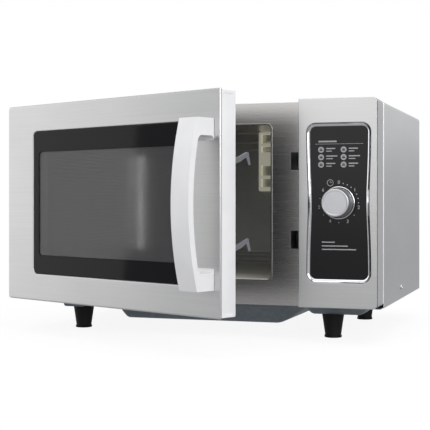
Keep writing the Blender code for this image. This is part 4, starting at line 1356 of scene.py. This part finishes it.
@dataclass
class Door:
    """The stainless door face, its window, the white body behind it and the dark inner cover."""

    width: float = 408.7
    height: float = 267.8
    window_low: tuple[float, float] = (57.0, 36.5)
    window_high: tuple[float, float] = (352.0, 231.5)
    window_corner: float = 8.0
    zone_low: tuple[float, float] = (68.8, 62.5)
    zone_high: tuple[float, float] = (336.0, 203.0)
    back: float = 27.7
    space: DoorSpace = field(default_factory=DoorSpace)
    white: Finish = MouldedPlastic("moulded_white_abs", "#e8e8e9", 0.36, coat=0.15)
    dark: Finish = MouldedPlastic("moulded_dark_grey_cover", "#3a3b3d", 0.4)
    zinc: Finish = GalvanisedSheet("zinc_plated_lug", "#a0a3a5", 0.35, spangle=2.0)

    def __post_init__(self) -> None:
        """Finishes whose patterns follow the door's own directions."""
        middle = self.space.metres((self.zone_low[0] + self.zone_high[0]) / 2, 2.0,
                                   (self.zone_low[1] + self.zone_high[1]) / 2)
        half = ((self.zone_high[0] - self.zone_low[0]) / 2, (self.zone_high[1] - self.zone_low[1]) / 2)
        turn = self.space.turn
        zone = WindowZone(middle, half, 6.0, turn)
        self.steel = BrushedStainless("brushed_stainless_door", "#cdcdcc", 0.33, turn=turn)
        self.glass = BorderedGlass("printed_toughened_glass", zone=zone)
        self.screen = PerforatedSteel("perforated_enamelled_steel", zone=zone)

    def outline(self, inset: float) -> Array:
        """The door's outline, moved inwards; its hinge-side corners are rounder."""
        radii = np.maximum(np.array([4.5, 1.8, 1.8, 4.5]) - inset, 0.3)
        return rounded_rectangle((inset, inset), (self.width - inset, self.height - inset), radii)

    def window(self, grow: float) -> Array:
        """The window's outline, moved outwards."""
        return rounded_rectangle((self.window_low[0] - grow, self.window_low[1] - grow),
                                 (self.window_high[0] + grow, self.window_high[1] + grow),
                                 max(self.window_corner + grow, 0.5))

    def build_face(self) -> None:
        """The steel face: round the rim, across the front and down into the window's edge."""
        rim, roll, sheet = 1.4, 0.9, 0.9
        rings = [on_plane(self.outline(1.0), 2.6), on_plane(self.outline(0.0), 2.6)]
        rings += [on_plane(self.outline(i), y) for i, y in quarter((0.0, rim), (rim, 0.0), 5, False)]
        rings += [on_plane(self.outline(rim + 1.0), 0.0), on_plane(self.window(roll + 1.0), 0.0)]
        rings += [on_plane(self.window(g), y) for g, y in quarter((roll, 0.0), (0.0, roll), 4)]
        rings += [on_plane(self.window(1.0), roll + 0.1), on_plane(self.outline(rim), sheet + 0.1)]
        Shape.loft(np.stack(rings), Ends.FRAME).piece(
            "door_face_sheet", self.space, self.steel, Body.DOOR, "brushed_steel", ("door_skin",), 25.0)

    def pane(self, name: str, grow: float, depths: tuple[float, float], edge: float, finish: Finish,
             slot: str, node: str) -> None:
        """A flat pane with ground edges that follows the window's outline.

        Args:
            name: The piece's name.
            grow: Its outline's distance outside the window.
            depths: Its front and back faces.
            edge: The edge's round.
            finish: Its finish.
            slot: The record's material slot.
            node: The node that it stands for.
        """
        front, rear = depths
        flat = grow - edge - 1.0  # a ring on each face, so that the face shades as a true plane
        profile = np.vstack([[[flat, front]], quarter((grow - edge, front), (grow, front + edge), 3),
                             quarter((grow, rear - edge), (grow - edge, rear), 3, False),
                             [[flat, rear]]])
        rings = [on_plane(self.window(g), y) for g, y in profile]
        Shape.loft(np.stack(rings), Ends.CAPPED_RINGS).piece(
            name, self.space, finish, Body.DOOR, slot, (node,))

    def build_side_band(self) -> None:
        """The white band along the top, the free edge and the bottom, with its corner tabs."""
        front, outer, inner, lip, start, corner, steps = 2.8, 0.95, 1.28, 1.95, 9.5, 2.4, 6
        profile = np.array([[outer, front], [outer, self.back - 0.5], [1.15, self.back - 0.12],
                            [1.6, self.back], [lip, self.back - 0.3], [lip, 24.4], [inner, 24.3],
                            [inner, front]])
        rings = []
        for inset, y in profile:
            low, high = (start, inset), (self.width - inset, self.height - inset)
            free = corner - inset
            path = rounded_rectangle(low, high, (0.01, free, free, 0.01), steps)
            rings.append(on_plane(path[steps:-steps], y))  # without the hinge side's corners
        Shape.loft(np.stack(rings), Ends.CAPPED_STRIP).piece(
            "door_side_band", self.space, self.white, Body.DOOR, "white_plastic")
        tabs = []
        for base, sign in ((self.height, -1), (0.0, 1)):
            tab = np.array([[8.5, 1.6], [22.5, 1.6], [22.5, 5.4], [8.5, 5.4], [3.4, 9.6], [3.4, 1.6]])
            outline = np.stack([tab[:, 0], base + sign * tab[:, 1]], axis=-1)
            tabs.append(Shape.prism(outline, (self.width - 1.2, self.width - 0.45), "YZ"))
        piece = Shape.joined(tabs).piece("door_corner_tabs", self.space, self.white, Body.DOOR,
                                         "white_plastic")
        round_edges(piece, 0.35)

    def build_cover(self) -> None:
        """The inner cover: dark, with the two pale sealing lips at its back."""
        cover = eased_copy("choke_cover", "choke_cover_moulding", self.dark, Body.DOOR,
                           0.3)
        mesh = cover.data
        mesh.materials.append(self.white.material())
        centres = np.empty(len(mesh.polygons) * 3)
        mesh.polygons.foreach_get("center", centres)
        angle = math.radians(self.space.turn)
        hinge = np.array(self.space.metres(*self.space.HINGE))
        behind = (centres.reshape(-1, 3) - hinge) @ np.array([-math.sin(angle), math.cos(angle), 0.0])
        lips_start = self.back + 0.3
        lip = behind > (lips_start - self.space.HINGE[1]) * MM
        mesh.polygons.foreach_set("material_index", lip.astype(np.int32))

    def build(self) -> None:
        """Make every piece of the door."""
        self.build_face()
        self.pane("door_glass", -0.5, (0.35, 1.5), 0.35, self.glass, "smoked_glass", "door_window")
        self.pane("perforated_screen", -0.5, (1.6, 2.4), 0.1, self.screen, "screen_steel", "window_screen")
        eased_copy("door_core", "door_body_moulding", self.white, Body.DOOR, 0.4)
        self.build_side_band()
        self.build_cover()
        for level in ("upper", "lower"):
            eased_copy(f"{level}_door_lug", f"{level}_lug_plate", self.zinc, Body.DOOR, 0.4)


@dataclass
class Handle:
    """The bowed pull handle: a bar between two feet, its front a parabola."""

    sides: tuple[float, float] = (370.5, 399.3)
    ends: tuple[float, float] = (33.0, 233.0)
    reach_end: float = 28.4
    reach_middle: float = 42.4
    bar: float = 8.0
    foot: float = 20.5
    corner: float = 5.0
    space: DoorSpace = field(default_factory=DoorSpace)
    finish: Finish = MouldedPlastic("silver_painted_abs", "#e9e9ea", 0.34, 0.1, coat=0.3)

    def front(self, z: Array) -> Array:
        """The bar's front: deepest in the middle, less by the square of the distance from it.

        Args:
            z: Heights.

        Returns:
            The depth at each height.
        """
        middle = sum(self.ends) / 2
        half = (self.ends[1] - self.ends[0]) / 2
        return -self.reach_middle + (self.reach_middle - self.reach_end) * ((z - middle) / half) ** 2

    def build(self) -> None:
        """The side outline made thick, its edges rounded."""
        low, high = self.ends
        outer_z = np.linspace(low, high, 49)
        z0, z1 = low + self.foot, high - self.foot
        closing = (1 - np.cos(np.linspace(0, np.pi, 57))) / 2  # points close up at both ends
        inner_z = z1 - (z1 - z0) * closing
        near = np.clip(1 - np.minimum(inner_z - z0, z1 - inner_z) / self.corner, 0, 1)
        round_in = self.corner * (1 - np.sqrt(1 - near ** 2))
        outer = np.stack([self.front(outer_z), outer_z], axis=-1)
        inner = np.stack([self.front(inner_z) + self.bar + round_in, inner_z], axis=-1)
        seat, fillet = -0.3, 5.0
        upper = quarter((seat, z1 - fillet), (seat - fillet, z1), 6, False)
        lower = upper[::-1] * [1.0, -1.0] + [0.0, z0 + z1]
        outline = np.vstack([[seat, low], outer, [seat, high], upper, inner, lower])
        piece = Shape.prism(outline, self.sides, "YZ").piece(
            "bowed_pull_handle", self.space, self.finish, Body.DOOR, "silver_plastic",
            ("door_handle",), 25.0)
        round_edges(piece, 1.8, 4)


@dataclass
class Latch:
    """The sliding latch plate with its two hooks, and its spring."""

    hook: Finish = MouldedPlastic("moulded_grey_acetal", "#74767a", 0.32, 0.3)
    wire: Finish = PolishedChrome("drawn_spring_wire", "#b8b8b8", 0.25)

    def build(self) -> None:
        """Ease the hooks' edges, and dress the spring."""
        eased_copy("latch_plate", "latch_hooks", self.hook, Body.LATCH, 0.35, 3)
        dress("latch_spring", self.wire)


@dataclass
class ControlFascia:
    """The stainless fascia sheet, its moulded housing, the bezel, the overlay and its print."""

    low: tuple[float, float] = (409.6, 0.0)
    high: tuple[float, float] = (511.0, 267.8)
    radii: tuple[float, ...] = (1.2, 5.5, 5.5, 1.2)
    panel_low: tuple[float, float] = (424.0, 36.5)
    panel_high: tuple[float, float] = (499.5, 232.0)
    panel_corner: float = 8.0
    bezel: float = 4.2
    waist: float = 2.3
    waist_reach: float = 46.7
    knob: tuple[float, float] = KNOB_AXIS
    face: float = 4.5
    print_skin: tuple[float, float] = (-0.14, -0.04)
    frame_face: float = 31.1
    columns: tuple[float, ...] = (438.4, 467.6)
    rows: tuple[float, ...] = (202.0, 192.4, 182.9)
    clock: tuple[float, float] = (450.3, 159.8)
    space: DrawingSpace = field(default_factory=DrawingSpace)
    steel: Finish = BrushedStainless("brushed_stainless_fascia", "#c9c9c8", 0.3)
    housing: Finish = MouldedPlastic("moulded_silver_housing", "#a6a7a9", 0.4)
    seal: Finish = MouldedPlastic("moulded_white_gasket", "#f2f2f2", 0.5)
    # near-black ring in the gap behind the sheet: painted shadow of that gap
    seat: Finish = MouldedPlastic("painted_shadow_gap_ring", "#1c1c1e", 0.6)
    chrome: Finish = PolishedChrome("chrome_plated_bezel")
    film: Finish = OverlayFilm("polyester_overlay")
    ink: Finish = ScreenInk("printed_white_ink", "#a2a2a3")
    dark_ink: Finish = ScreenInk("printed_black_ink", "#1a1a1b")

    def waisted(self, low: tuple[float, float], high: tuple[float, float], radii: float | Array,
                waist: float) -> Array:
        """A rounded rectangle whose long sides bow inwards at the knob.

        Each point moves towards the middle by waist * exp(-((z - knob height) / reach) ** 2).

        Args:
            low: Lower left corner.
            high: Upper right corner.
            radii: Corner radii.
            waist: The greatest inward bow.

        Returns:
            Rows of X and Z, the same number for any size.
        """
        steps, along = 8, 28
        corners = rounded_rectangle(low, high, radii, steps).reshape(4, steps + 1, 2)
        share = np.linspace(0, 1, along + 2)[1:-1, None]
        right = corners[1, -1] + (corners[2, 0] - corners[1, -1]) * share
        left = corners[3, -1] + (corners[0, 0] - corners[3, -1]) * share
        outline = np.vstack([corners[0], corners[1], right, corners[2], corners[3], left])
        inward = np.where(outline[:, 0] > (low[0] + high[0]) / 2, -1.0, 1.0)
        bow = waist * np.exp(-((outline[:, 1] - self.knob[1]) / self.waist_reach) ** 2)
        outline[:, 0] += inward * bow
        return outline

    def panel(self, grow: float) -> Array:
        """The overlay's outline, moved outwards."""
        return self.waisted((self.panel_low[0] - grow, self.panel_low[1] - grow),
                            (self.panel_high[0] + grow, self.panel_high[1] + grow),
                            self.panel_corner + grow, self.waist)

    def edge(self, inset: float) -> Array:
        """The fascia's outline, moved inwards."""
        return self.waisted((self.low[0] + inset, self.low[1] + inset),
                            (self.high[0] - inset, self.high[1] - inset),
                            np.maximum(np.array(self.radii) - inset, 0.3), 0.0)

    def build_sheet(self) -> None:
        """The steel sheet with rounded edges and the panel's opening."""
        roll = 0.4
        rings = [on_plane(self.edge(0.0), 1.0)]
        rings += [on_plane(self.edge(i), y) for i, y in quarter((0.0, roll), (roll, 0.0), 4, False)]
        rings += [on_plane(self.edge(roll + 0.8), 0.0), on_plane(self.panel(self.bezel + 0.6), 0.0)]
        rings += [on_plane(self.panel(g), y)
                  for g, y in quarter((self.bezel + 0.3, 0.0), (self.bezel, 0.3), 3)]
        rings += [on_plane(self.panel(self.bezel), 1.0)]
        Shape.loft(np.stack(rings), Ends.FRAME).piece(
            "fascia_sheet", self.space, self.steel, Body.CABINET, "brushed_steel",
            ("fascia_plate",), 25.0)

    def housing_ring(self, inset: float, y: float) -> Array:
        """One ring of the housing; between its corners, the left wall stops at the front frame.

        Args:
            inset: How far the ring lies inside the fascia's outline.
            y: Its depth.

        Returns:
            Rows of X, Y and Z.
        """
        outline = self.edge(inset)
        ring = on_plane(outline, y)
        left, corner = 4.0, 3.4  # the left wall's share of the width, and what the corners take
        middle, half = (self.low[1] + self.high[1]) / 2, (self.high[1] - self.low[1]) / 2 - corner
        wall = (outline[:, 0] < self.low[0] + left) & (np.abs(outline[:, 1] - middle) < half)
        ring[:, 1] = np.where(wall, np.minimum(y, self.frame_face), y)
        return ring

    def band(self, name: str, profile: Array, finish: Finish, slot: str,
             replaces: tuple[str, ...] = ()) -> None:
        """A closed band: the profile's section carried round the housing's outline."""
        rings = np.stack([self.housing_ring(inset, y) for inset, y in profile])
        Shape.loft(rings, Ends.FRAME).piece(name, self.space, finish, Body.CABINET, slot, replaces)

    def build_housing(self) -> None:
        """The dark ring behind the sheet that paints the shadow of the gap there, the housing's shell, and
        the pale gasket at its back.
        """
        skin, inside, front, rear = 0.35, 2.3, 7.4, 47.6
        shell = np.vstack([[[8.0, front], [8.0, 6.0]], quarter((1.2, 6.0), (skin, 6.8), 4),
                           [[skin, 8.0], [skin, 30.0]],
                           [[skin, 37.8], [0.75, 38.2], [0.75, 39.2], [skin, 39.6]],
                           [[skin, rear], [inside, rear], [inside, front]]])
        self.band("fascia_housing_shell", shell, self.housing, "silver_plastic", ("fascia_housing",))
        # a dark ring between the sheet and the housing, painting the gap's shadow
        seat = np.array([[8.0, 1.15], [0.1, 1.15], [0.1, 5.8], [8.0, 5.8]])
        self.band("fascia_shadow_gap_ring", seat, self.seat, "black_plastic")
        gasket = np.array([[0.5, 47.9], [0.2, 48.2], [0.2, 50.3], [0.6, 50.6], [2.2, 50.6], [2.2, 47.9]])
        self.band("fascia_gasket", gasket, self.seal, "white_plastic")

    def build_bezel(self) -> None:
        """The chrome frame that dips from the sheet to the overlay."""
        slope = quarter((self.bezel - 0.3, 0.12), (0.0, 3.3), 6, False)
        profile = np.vstack([slope, [[0.0, 4.2], [self.bezel - 0.3, 4.2]]])
        rings = np.stack([on_plane(self.panel(g), y) for g, y in profile])
        Shape.loft(rings, Ends.FRAME).piece(
            "chrome_panel_bezel", self.space, self.chrome, Body.CABINET, "chrome_trim", ("panel_bezel",))

    def printed(self, outline: Array) -> Shape:
        """A flat printed mark, 0.1 mm thick and just clear of the overlay."""
        front, back = self.print_skin
        return Shape.prism(outline, (self.face + front, self.face + back))

    def bar(self, x: float, z: float, wide: float, tall: float) -> Shape:
        """A printed bar from its left end and middle height."""
        return self.printed(rounded_rectangle((x, z - tall / 2), (x + wide, z + tall / 2),
                                              min(wide, tall) * 0.3, 3))

    def disc(self, x: float, z: float, radius: float) -> Shape:
        """A printed disc."""
        return self.printed(rounded_rectangle((x - radius, z - radius), (x + radius, z + radius),
                                              radius, 8))

    def letters(self, text: str, x: float, z: float, size: float) -> Shape:
        """A numeral as a thin solid standing on the overlay.

        Args:
            text: What is printed.
            x: Its middle.
            z: Its middle height.
            size: Letter size in millimetres.

        Returns:
            The shape.
        """
        curve = bpy.data.curves.new("numeral", "FONT")
        curve.body = text
        curve.size = size
        curve.align_x = "CENTER"
        curve.align_y = "CENTER"
        curve.extrude = (self.print_skin[1] - self.print_skin[0]) / 2
        curve.offset = 0.06  # bolder strokes
        guide = bpy.data.objects.new("numeral", curve)
        bpy.context.scene.collection.objects.link(guide)
        mesh = bpy.data.meshes.new_from_object(
            guide.evaluated_get(bpy.context.evaluated_depsgraph_get()))
        flat = np.empty(len(mesh.vertices) * 3)
        mesh.vertices.foreach_get("co", flat)
        faces = [list(p.vertices) for p in mesh.polygons]
        bpy.data.objects.remove(guide, do_unlink=True)
        bpy.data.meshes.remove(mesh)
        local = flat.reshape(-1, 3)
        place = np.array([x, self.face + sum(self.print_skin) / 2, z])
        return Shape(local[:, [0, 2, 1]] * [1.0, -1.0, 1.0] + place, faces)

    def round_the_knob(self, turn: float, radius: float) -> tuple[float, float]:
        """A place round the knob, from an angle in degrees and a radius."""
        angle = math.radians(turn)
        return self.knob[0] + radius * math.cos(angle), self.knob[1] + radius * math.sin(angle)

    def print_dial(self) -> Shape:
        """Numerals 0 to 6 at equal steps round the knob, with marks between them.

        Returns:
            The shape.
        """
        numbers, fine, top, ring, tall = 7, 2, 90.0, 26.2, 6.2
        step = 360.0 / numbers
        marks = []
        for number in range(numbers):
            x, z = self.round_the_knob(top - step * number, ring)
            marks.append(self.letters(str(number), x, z, tall))
        for number in range(numbers - 1):
            shares = (0.25, 0.5, 0.75) if number < fine else (0.5,)
            for share in shares:
                x, z = self.round_the_knob(top - step * (number + share), ring - 1.0)
                marks.append(self.disc(x, z, 0.75 if number < fine else 0.6))
        return Shape.joined(marks)

    def print_guide(self) -> Shape:
        """The cooking guide as plain bars: a header, a rule, and two columns of entries.

        Returns:
            The shape.
        """
        marks = [self.bar(435.0, 212.5, 23.7, 2.0), self.bar(430.8, 209.3, 61.9, 0.45)]
        disc, text = 3.8, 6.6  # a disc's radius, and how far right of its middle the text starts
        for column in self.columns:
            for row, wide in zip(self.rows, (12.0, 14.5, 12.0)):
                marks.append(self.disc(column, row, disc))
                marks.append(self.bar(column + text, row + 1.5, wide, 1.5))
                marks.append(self.bar(column + text, row - 1.9, wide * 0.6, 1.2))
        for z, wide in ((83.9, 17.0), (79.1, 33.6), (74.7, 44.5)):
            marks.append(self.bar(439.3, z, wide, 1.35))
        return Shape.joined(marks)

    def print_pictures(self) -> Shape:
        """Small dark dishes inside the discs, so that each disc reads as a picture.

        Returns:
            The shape.
        """
        above_discs = 0.06
        marks = []
        for column in self.columns:
            for row in self.rows:
                dish = rounded_rectangle((column - 2.1, row - 1.5), (column + 2.1, row + 0.3), 0.8, 3)
                lid = rounded_rectangle((column - 1.4, row + 0.7), (column + 1.4, row + 1.5), 0.35, 3)
                marks += [self.printed(dish), self.printed(lid)]
        lifted = Shape.joined(marks)
        lifted.points[:, 1] -= above_discs
        return lifted

    def print_clock(self) -> Shape:
        """A clock face: a ring with two hands.

        Returns:
            The shape.
        """
        x, z = self.clock
        outer, inner = 4.3, 3.6
        front, back = self.print_skin
        rings = [on_plane(rounded_rectangle((x - r, z - r), (x + r, z + r), r, 8), y)
                 for r, y in ((outer, front), (outer, back), (inner, back), (inner, front))]
        ring = Shape.loft(np.stack(rings) + [0.0, self.face, 0.0], Ends.FRAME)
        return Shape.joined([ring, self.bar(x - 0.3, z + 1.1, 0.6, 2.6), self.bar(x - 0.3, z, 2.4, 0.6)])

    def build_print(self) -> None:
        """Lay the printed marks on the overlay."""
        marks = (("printed_dial_numbers", self.print_dial(), self.ink),
                 ("printed_cooking_guide", self.print_guide(), self.ink),
                 ("printed_dish_pictures", self.print_pictures(), self.dark_ink),
                 ("printed_clock", self.print_clock(), self.ink))
        for name, shape, finish in marks:
            shape.piece(name, self.space, finish, Body.CABINET, "black_gloss")

    def build(self) -> None:
        """Make every piece of the fascia."""
        self.build_sheet()
        self.build_housing()
        self.build_bezel()
        dress("control_overlay", self.film)
        self.build_print()


@dataclass
class TimerDial:
    """The timer's knob with its bevelled skirt, and the spindle."""

    centre: tuple[float, float] = KNOB_AXIS
    radius: float = 17.6
    front: float = -20.5
    back: float = 1.3
    skirt: float = 21.0
    space: DrawingSpace = field(default_factory=DrawingSpace)
    chrome: Finish = PolishedChrome("chrome_plated_skirt", "#d6d6d8", 0.16)
    # near-black finish of the ring that paints the groove's shadow
    groove: Finish = MouldedPlastic("painted_groove_shadow", "#18191a", 0.5, 0.3)

    def __post_init__(self) -> None:
        """The turned face's rings run round the knob's axis."""
        middle = self.space.metres(self.centre[0], 0.0, self.centre[1])
        self.satin = SatinTurned("metallised_knob", axis=middle)
        self.steel = PolishedChrome("turned_steel_spindle", "#b9b9b9", 0.25)

    def build(self) -> None:
        """Turn the knob, a dark ring painting the shadow in the groove behind it, the skirt and the
        spindle round one axis.
        """
        axis = (self.centre[0], 0.0, self.centre[1])
        r = self.radius
        knob = np.vstack([[[self.back, r + 1.2], [self.back - 6.0, r + 0.85], [self.front + 2.0, r + 0.1]],
                          quarter((self.front + 1.1, r), (self.front, r - 1.1), 5),
                          [[self.front, r - 2.2], [self.front + 0.6, r - 2.8]]])
        Shape.turned(knob, axis, "Y", 96).piece(
            "timer_knob_cap", self.space, self.satin, Body.DIAL, "silver_plastic", ("timer_knob",))
        # a dark ring between knob and skirt: painted shadow of the groove
        ring = np.array([[2.4, r + 2.2], [1.5, r + 2.2], [1.38, r + 1.9], [1.38, r + 0.4], [2.4, r + 0.4]])
        Shape.turned(ring, axis, "Y", 96).piece(
            "timer_knob_groove_shadow", self.space, self.groove, Body.DIAL, "black_plastic")
        skirt = np.vstack([[[3.9, self.skirt]], [[2.9, self.skirt]],
                           quarter((2.6, self.skirt), (1.6, self.skirt - 1.4), 5), [[1.6, 3.4]]])
        Shape.turned(skirt, axis, "Y", 96).piece(
            "timer_knob_skirt", self.space, self.chrome, Body.DIAL, "chrome_trim", ("knob_skirt",))
        dress("timer_spindle", self.steel)


@dataclass
class Internals:
    """The working parts inside the cabinet: they keep their shapes and get their materials."""

    zinc: Finish = GalvanisedSheet("zinc_plated_steel", "#a3a6a8", 0.38)
    aluminium: Finish = GalvanisedSheet("mill_finish_aluminium", "#c4c6c8", 0.35, spangle=12.0,
                                        dark="#b2b4b6")
    black: Finish = MouldedPlastic("moulded_black_nylon", "#1b1c1d", 0.5, 0.4)
    cream: Finish = MouldedPlastic("moulded_cream_nylon", "#d8d3bd", 0.45, 0.4)
    white: Finish = MouldedPlastic("moulded_white_nylon", "#dcdcd8", 0.45, 0.4)
    copper: Finish = LayeredMetal("enamelled_copper_winding", "#b06a3c", dark="#6a3a1e")
    iron: Finish = LayeredMetal("laminated_core_iron", "#5a5b5e", dark="#2e2f31", pitch=1.6,
                                across=(0.0, 1.0, 0.0))
    board: Finish = CircuitBoard("solder_masked_board")
    ceramic: Finish = GlassCeramic("steatite_lamp_holder", "#dedad0", 0.5)
    bulb: Finish = MouldedPlastic("lamp_glass", "#f1eee0", 0.1, 2.0, coat=0.6)
    film: Finish = BorderedGlass("clear_polyester_film", "#2a2c2d", 0.12, smoke=0.22,
                                 zone=WindowZone(half=(900.0, 900.0)))  # clear right to its edges

    def build(self) -> None:
        """Give each working part the finish of what it really is."""
        finishes = {
            self.zinc: ("antenna_motor", "capacitor_clamp", "magnetron"),
            self.aluminium: ("waveguide", "stirrer_antenna", "capacitor"),
            self.black: ("timer_body", "fan_duct", "interlock_bracket", "primary_switch",
                         "secondary_switch", "monitor_switch"),
            self.cream: ("primary_switch_plunger", "secondary_switch_plunger",
                         "monitor_switch_plunger"),
            self.white: ("fan_blade",),
            self.copper: ("transformer_primary", "transformer_secondary"),
            self.iron: ("transformer_core", "fan_motor"),
            self.board: ("control_board", "filter_board"),
            self.ceramic: ("lamp_holder",),
            self.bulb: ("oven_lamp",),
            self.film: ("inner_film",),
        }
        for finish, names in finishes.items():
            for name in names:
                dress(name, finish)


# ---------------------------------------------------------------- studio


@dataclass(frozen=True)
class PaperSweep(Finish):
    """Thin white background paper that melts into the white round it away from the oven."""

    colour: str = "#fbfbfb"
    roughness: float = 0.9
    weight: float = 0.1

    def surface(self, tree: bpy.types.NodeTree, shader: bpy.types.Node) -> Socket:
        """A faint tooth, and a cover that falls from its weight to nothing over a metre.

        Args:
            tree: The material's node tree.
            shader: Its principled shader.

        Returns:
            The surface output.
        """
        tooth = grain(tree, pattern_space(tree, (3.0,) * 3), 2.0)
        self.feed(tree, shader, base_color=ramp(tree, tooth, "#f4f4f4", self.colour))
        away = reckon(tree, "LENGTH", pattern_space(tree, (1.0, 1.0, 1.0)))
        cover = spread(tree, away, self.weight, 0.0, 500.0, 1500.0)
        clear = add_node(tree, "ShaderNodeBsdfTransparent")
        links = {0: cover, 1: clear.outputs[0], 2: shader.outputs[0]}
        return add_node(tree, "ShaderNodeMixShader", links=links).outputs[0]


@dataclass
class Studio:
    """A pale floor, soft area lights and the camera."""

    eye: tuple[float, float, float] = (749.4, -1360.2, 140.9)
    yaw: float = 18.405
    lens: float = 91.13
    rise: float = -0.0406
    below: str = "#a2a3a5"
    above: str = "#d4d5d7"
    space: DrawingSpace = field(default_factory=DrawingSpace)

    def camera(self) -> None:
        """A level camera to the right of the oven, looking a little to the left."""
        data = bpy.data.cameras.new("studio_camera")
        data.lens = self.lens
        data.sensor_width = 36.0
        data.shift_y = self.rise
        data.clip_start, data.clip_end = 0.05, 60.0
        made = bpy.data.objects.new("studio_camera", data)
        made.location = self.space.metres(*self.eye)
        made.rotation_euler = (math.radians(90.0), 0.0, math.radians(self.yaw))
        bpy.context.scene.collection.objects.link(made)
        bpy.context.scene.camera = made

    def lamp(self, name: str, place: tuple[float, float, float], aim: tuple[float, float, float],
             size: tuple[float, float], radiance: float) -> None:
        """A rectangular soft light; its power is radiance * pi * area.

        Args:
            name: Its name.
            place: Where it hangs, in metres.
            aim: The place it faces, in metres.
            size: Width and height in metres.
            radiance: Brightness of its face, where 1 is white.
        """
        data = bpy.data.lights.new(name, "AREA")
        data.shape = "RECTANGLE"
        data.size, data.size_y = size
        data.energy = radiance * math.pi * size[0] * size[1]
        made = bpy.data.objects.new(name, data)
        made.location = place
        direction = np.array(aim) - np.array(place)
        flat = float(np.hypot(direction[0], direction[1]))
        made.rotation_euler = (math.atan2(flat, -direction[2]), 0.0,
                               math.atan2(direction[1], direction[0]) - math.pi / 2)
        bpy.context.scene.collection.objects.link(made)

    def surroundings(self) -> None:
        """A world that is white behind the oven and light grey in what the oven reflects."""
        world = bpy.data.worlds.new("studio_world")
        world.use_nodes = True
        tree = world.node_tree
        tree.nodes.clear()
        path = add_node(tree, "ShaderNodeLightPath")
        direction = add_node(tree, "ShaderNodeTexCoord")
        split = add_node(tree, "ShaderNodeSeparateXYZ", links={0: direction.outputs["Generated"]})
        height = spread(tree, split.outputs[2], 0.0, 1.0, -0.25, 0.25)
        around = ramp(tree, height, self.below, self.above)
        settings = {"data_type": "RGBA", 7: (1.0, 1.0, 1.0, 1.0)}
        colour = add_node(tree, "ShaderNodeMix", settings,
                          {0: path.outputs["Is Camera Ray"], 6: around})
        shade = add_node(tree, "ShaderNodeBackground", {"Strength": 1.0}, {"Color": colour.outputs[2]})
        add_node(tree, "ShaderNodeOutputWorld", links={"Surface": shade.outputs[0]})
        bpy.context.scene.world = world

    def floor(self) -> None:
        """A round pale floor: rings of points whose radius grows from the middle."""
        radii, round_count, below_feet = np.array([0.01, 1.0, 4.0, 12.0]), 48, 0.0005
        angles = np.linspace(0, 2 * np.pi, round_count, endpoint=False)
        circle = np.stack([np.cos(angles), np.sin(angles), np.zeros(round_count)], axis=-1)
        points = (radii[:, None, None] * circle).reshape(-1, 3) - [0.0, 0.0, below_feet]
        faces = grid_faces(len(radii), round_count, False, True)[:, ::-1].tolist()
        faces.append(list(range(round_count)))
        mesh = bpy.data.meshes.new("studio_floor")
        mesh.from_pydata(points.tolist(), [], faces)
        mesh.materials.append(PaperSweep("seamless_white_paper").material())
        made = bpy.data.objects.new("studio_floor", mesh)
        bpy.context.scene.collection.objects.link(made)

    def build(self) -> None:
        """Set up camera, lights, world and floor."""
        self.camera()
        self.surroundings()
        self.floor()
        self.lamp("overhead_softbox", (0.1, -0.2, 2.3), (0.0, 0.0, 0.1), (2.6, 2.2), 1.7)
        self.lamp("left_softbox", (-2.6, 0.5, 0.6), (-0.1, -0.1, 0.15), (3.4, 2.2), 0.76)
        self.lamp("right_softbox", (2.0, -2.0, 1.1), (0.1, -0.1, 0.15), (1.7, 1.8), 5.0)
        self.lamp("rear_right_softbox", (1.5, 2.8, 1.4), (0.1, 0.0, 0.2), (2.4, 2.0), 0.3)
        self.lamp("front_softbox", (-0.9, -3.2, 1.0), (0.0, 0.0, 0.15), (2.2, 1.8), 0.98)
        # these two stand beyond the open door and show in its glass as one upright streak
        self.lamp("strip_light", (-1.444, -0.66, 0.174), (-0.015, -0.205, 0.174), (0.015, 0.24), 4.5)
        self.lamp("edge_light", (-1.466, -0.638, 0.174), (-0.03, -0.2, 0.174), (0.006, 0.24), 2.5)
        bpy.context.scene.view_settings.view_transform = "Standard"


def main() -> None:
    """Build the sub-assemblies in order."""
    logging.basicConfig(level=logging.INFO, format="%(name)s %(message)s")
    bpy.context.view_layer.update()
    for part in (Cabinet(), BasePan(), OvenCavity(), Door(), Handle(), Latch(), ControlFascia(),
                 TimerDial(), Internals(), Studio()):
        LOG.info("building %s", type(part).__name__)
        part.build()


if __name__ == "__main__":
    main()
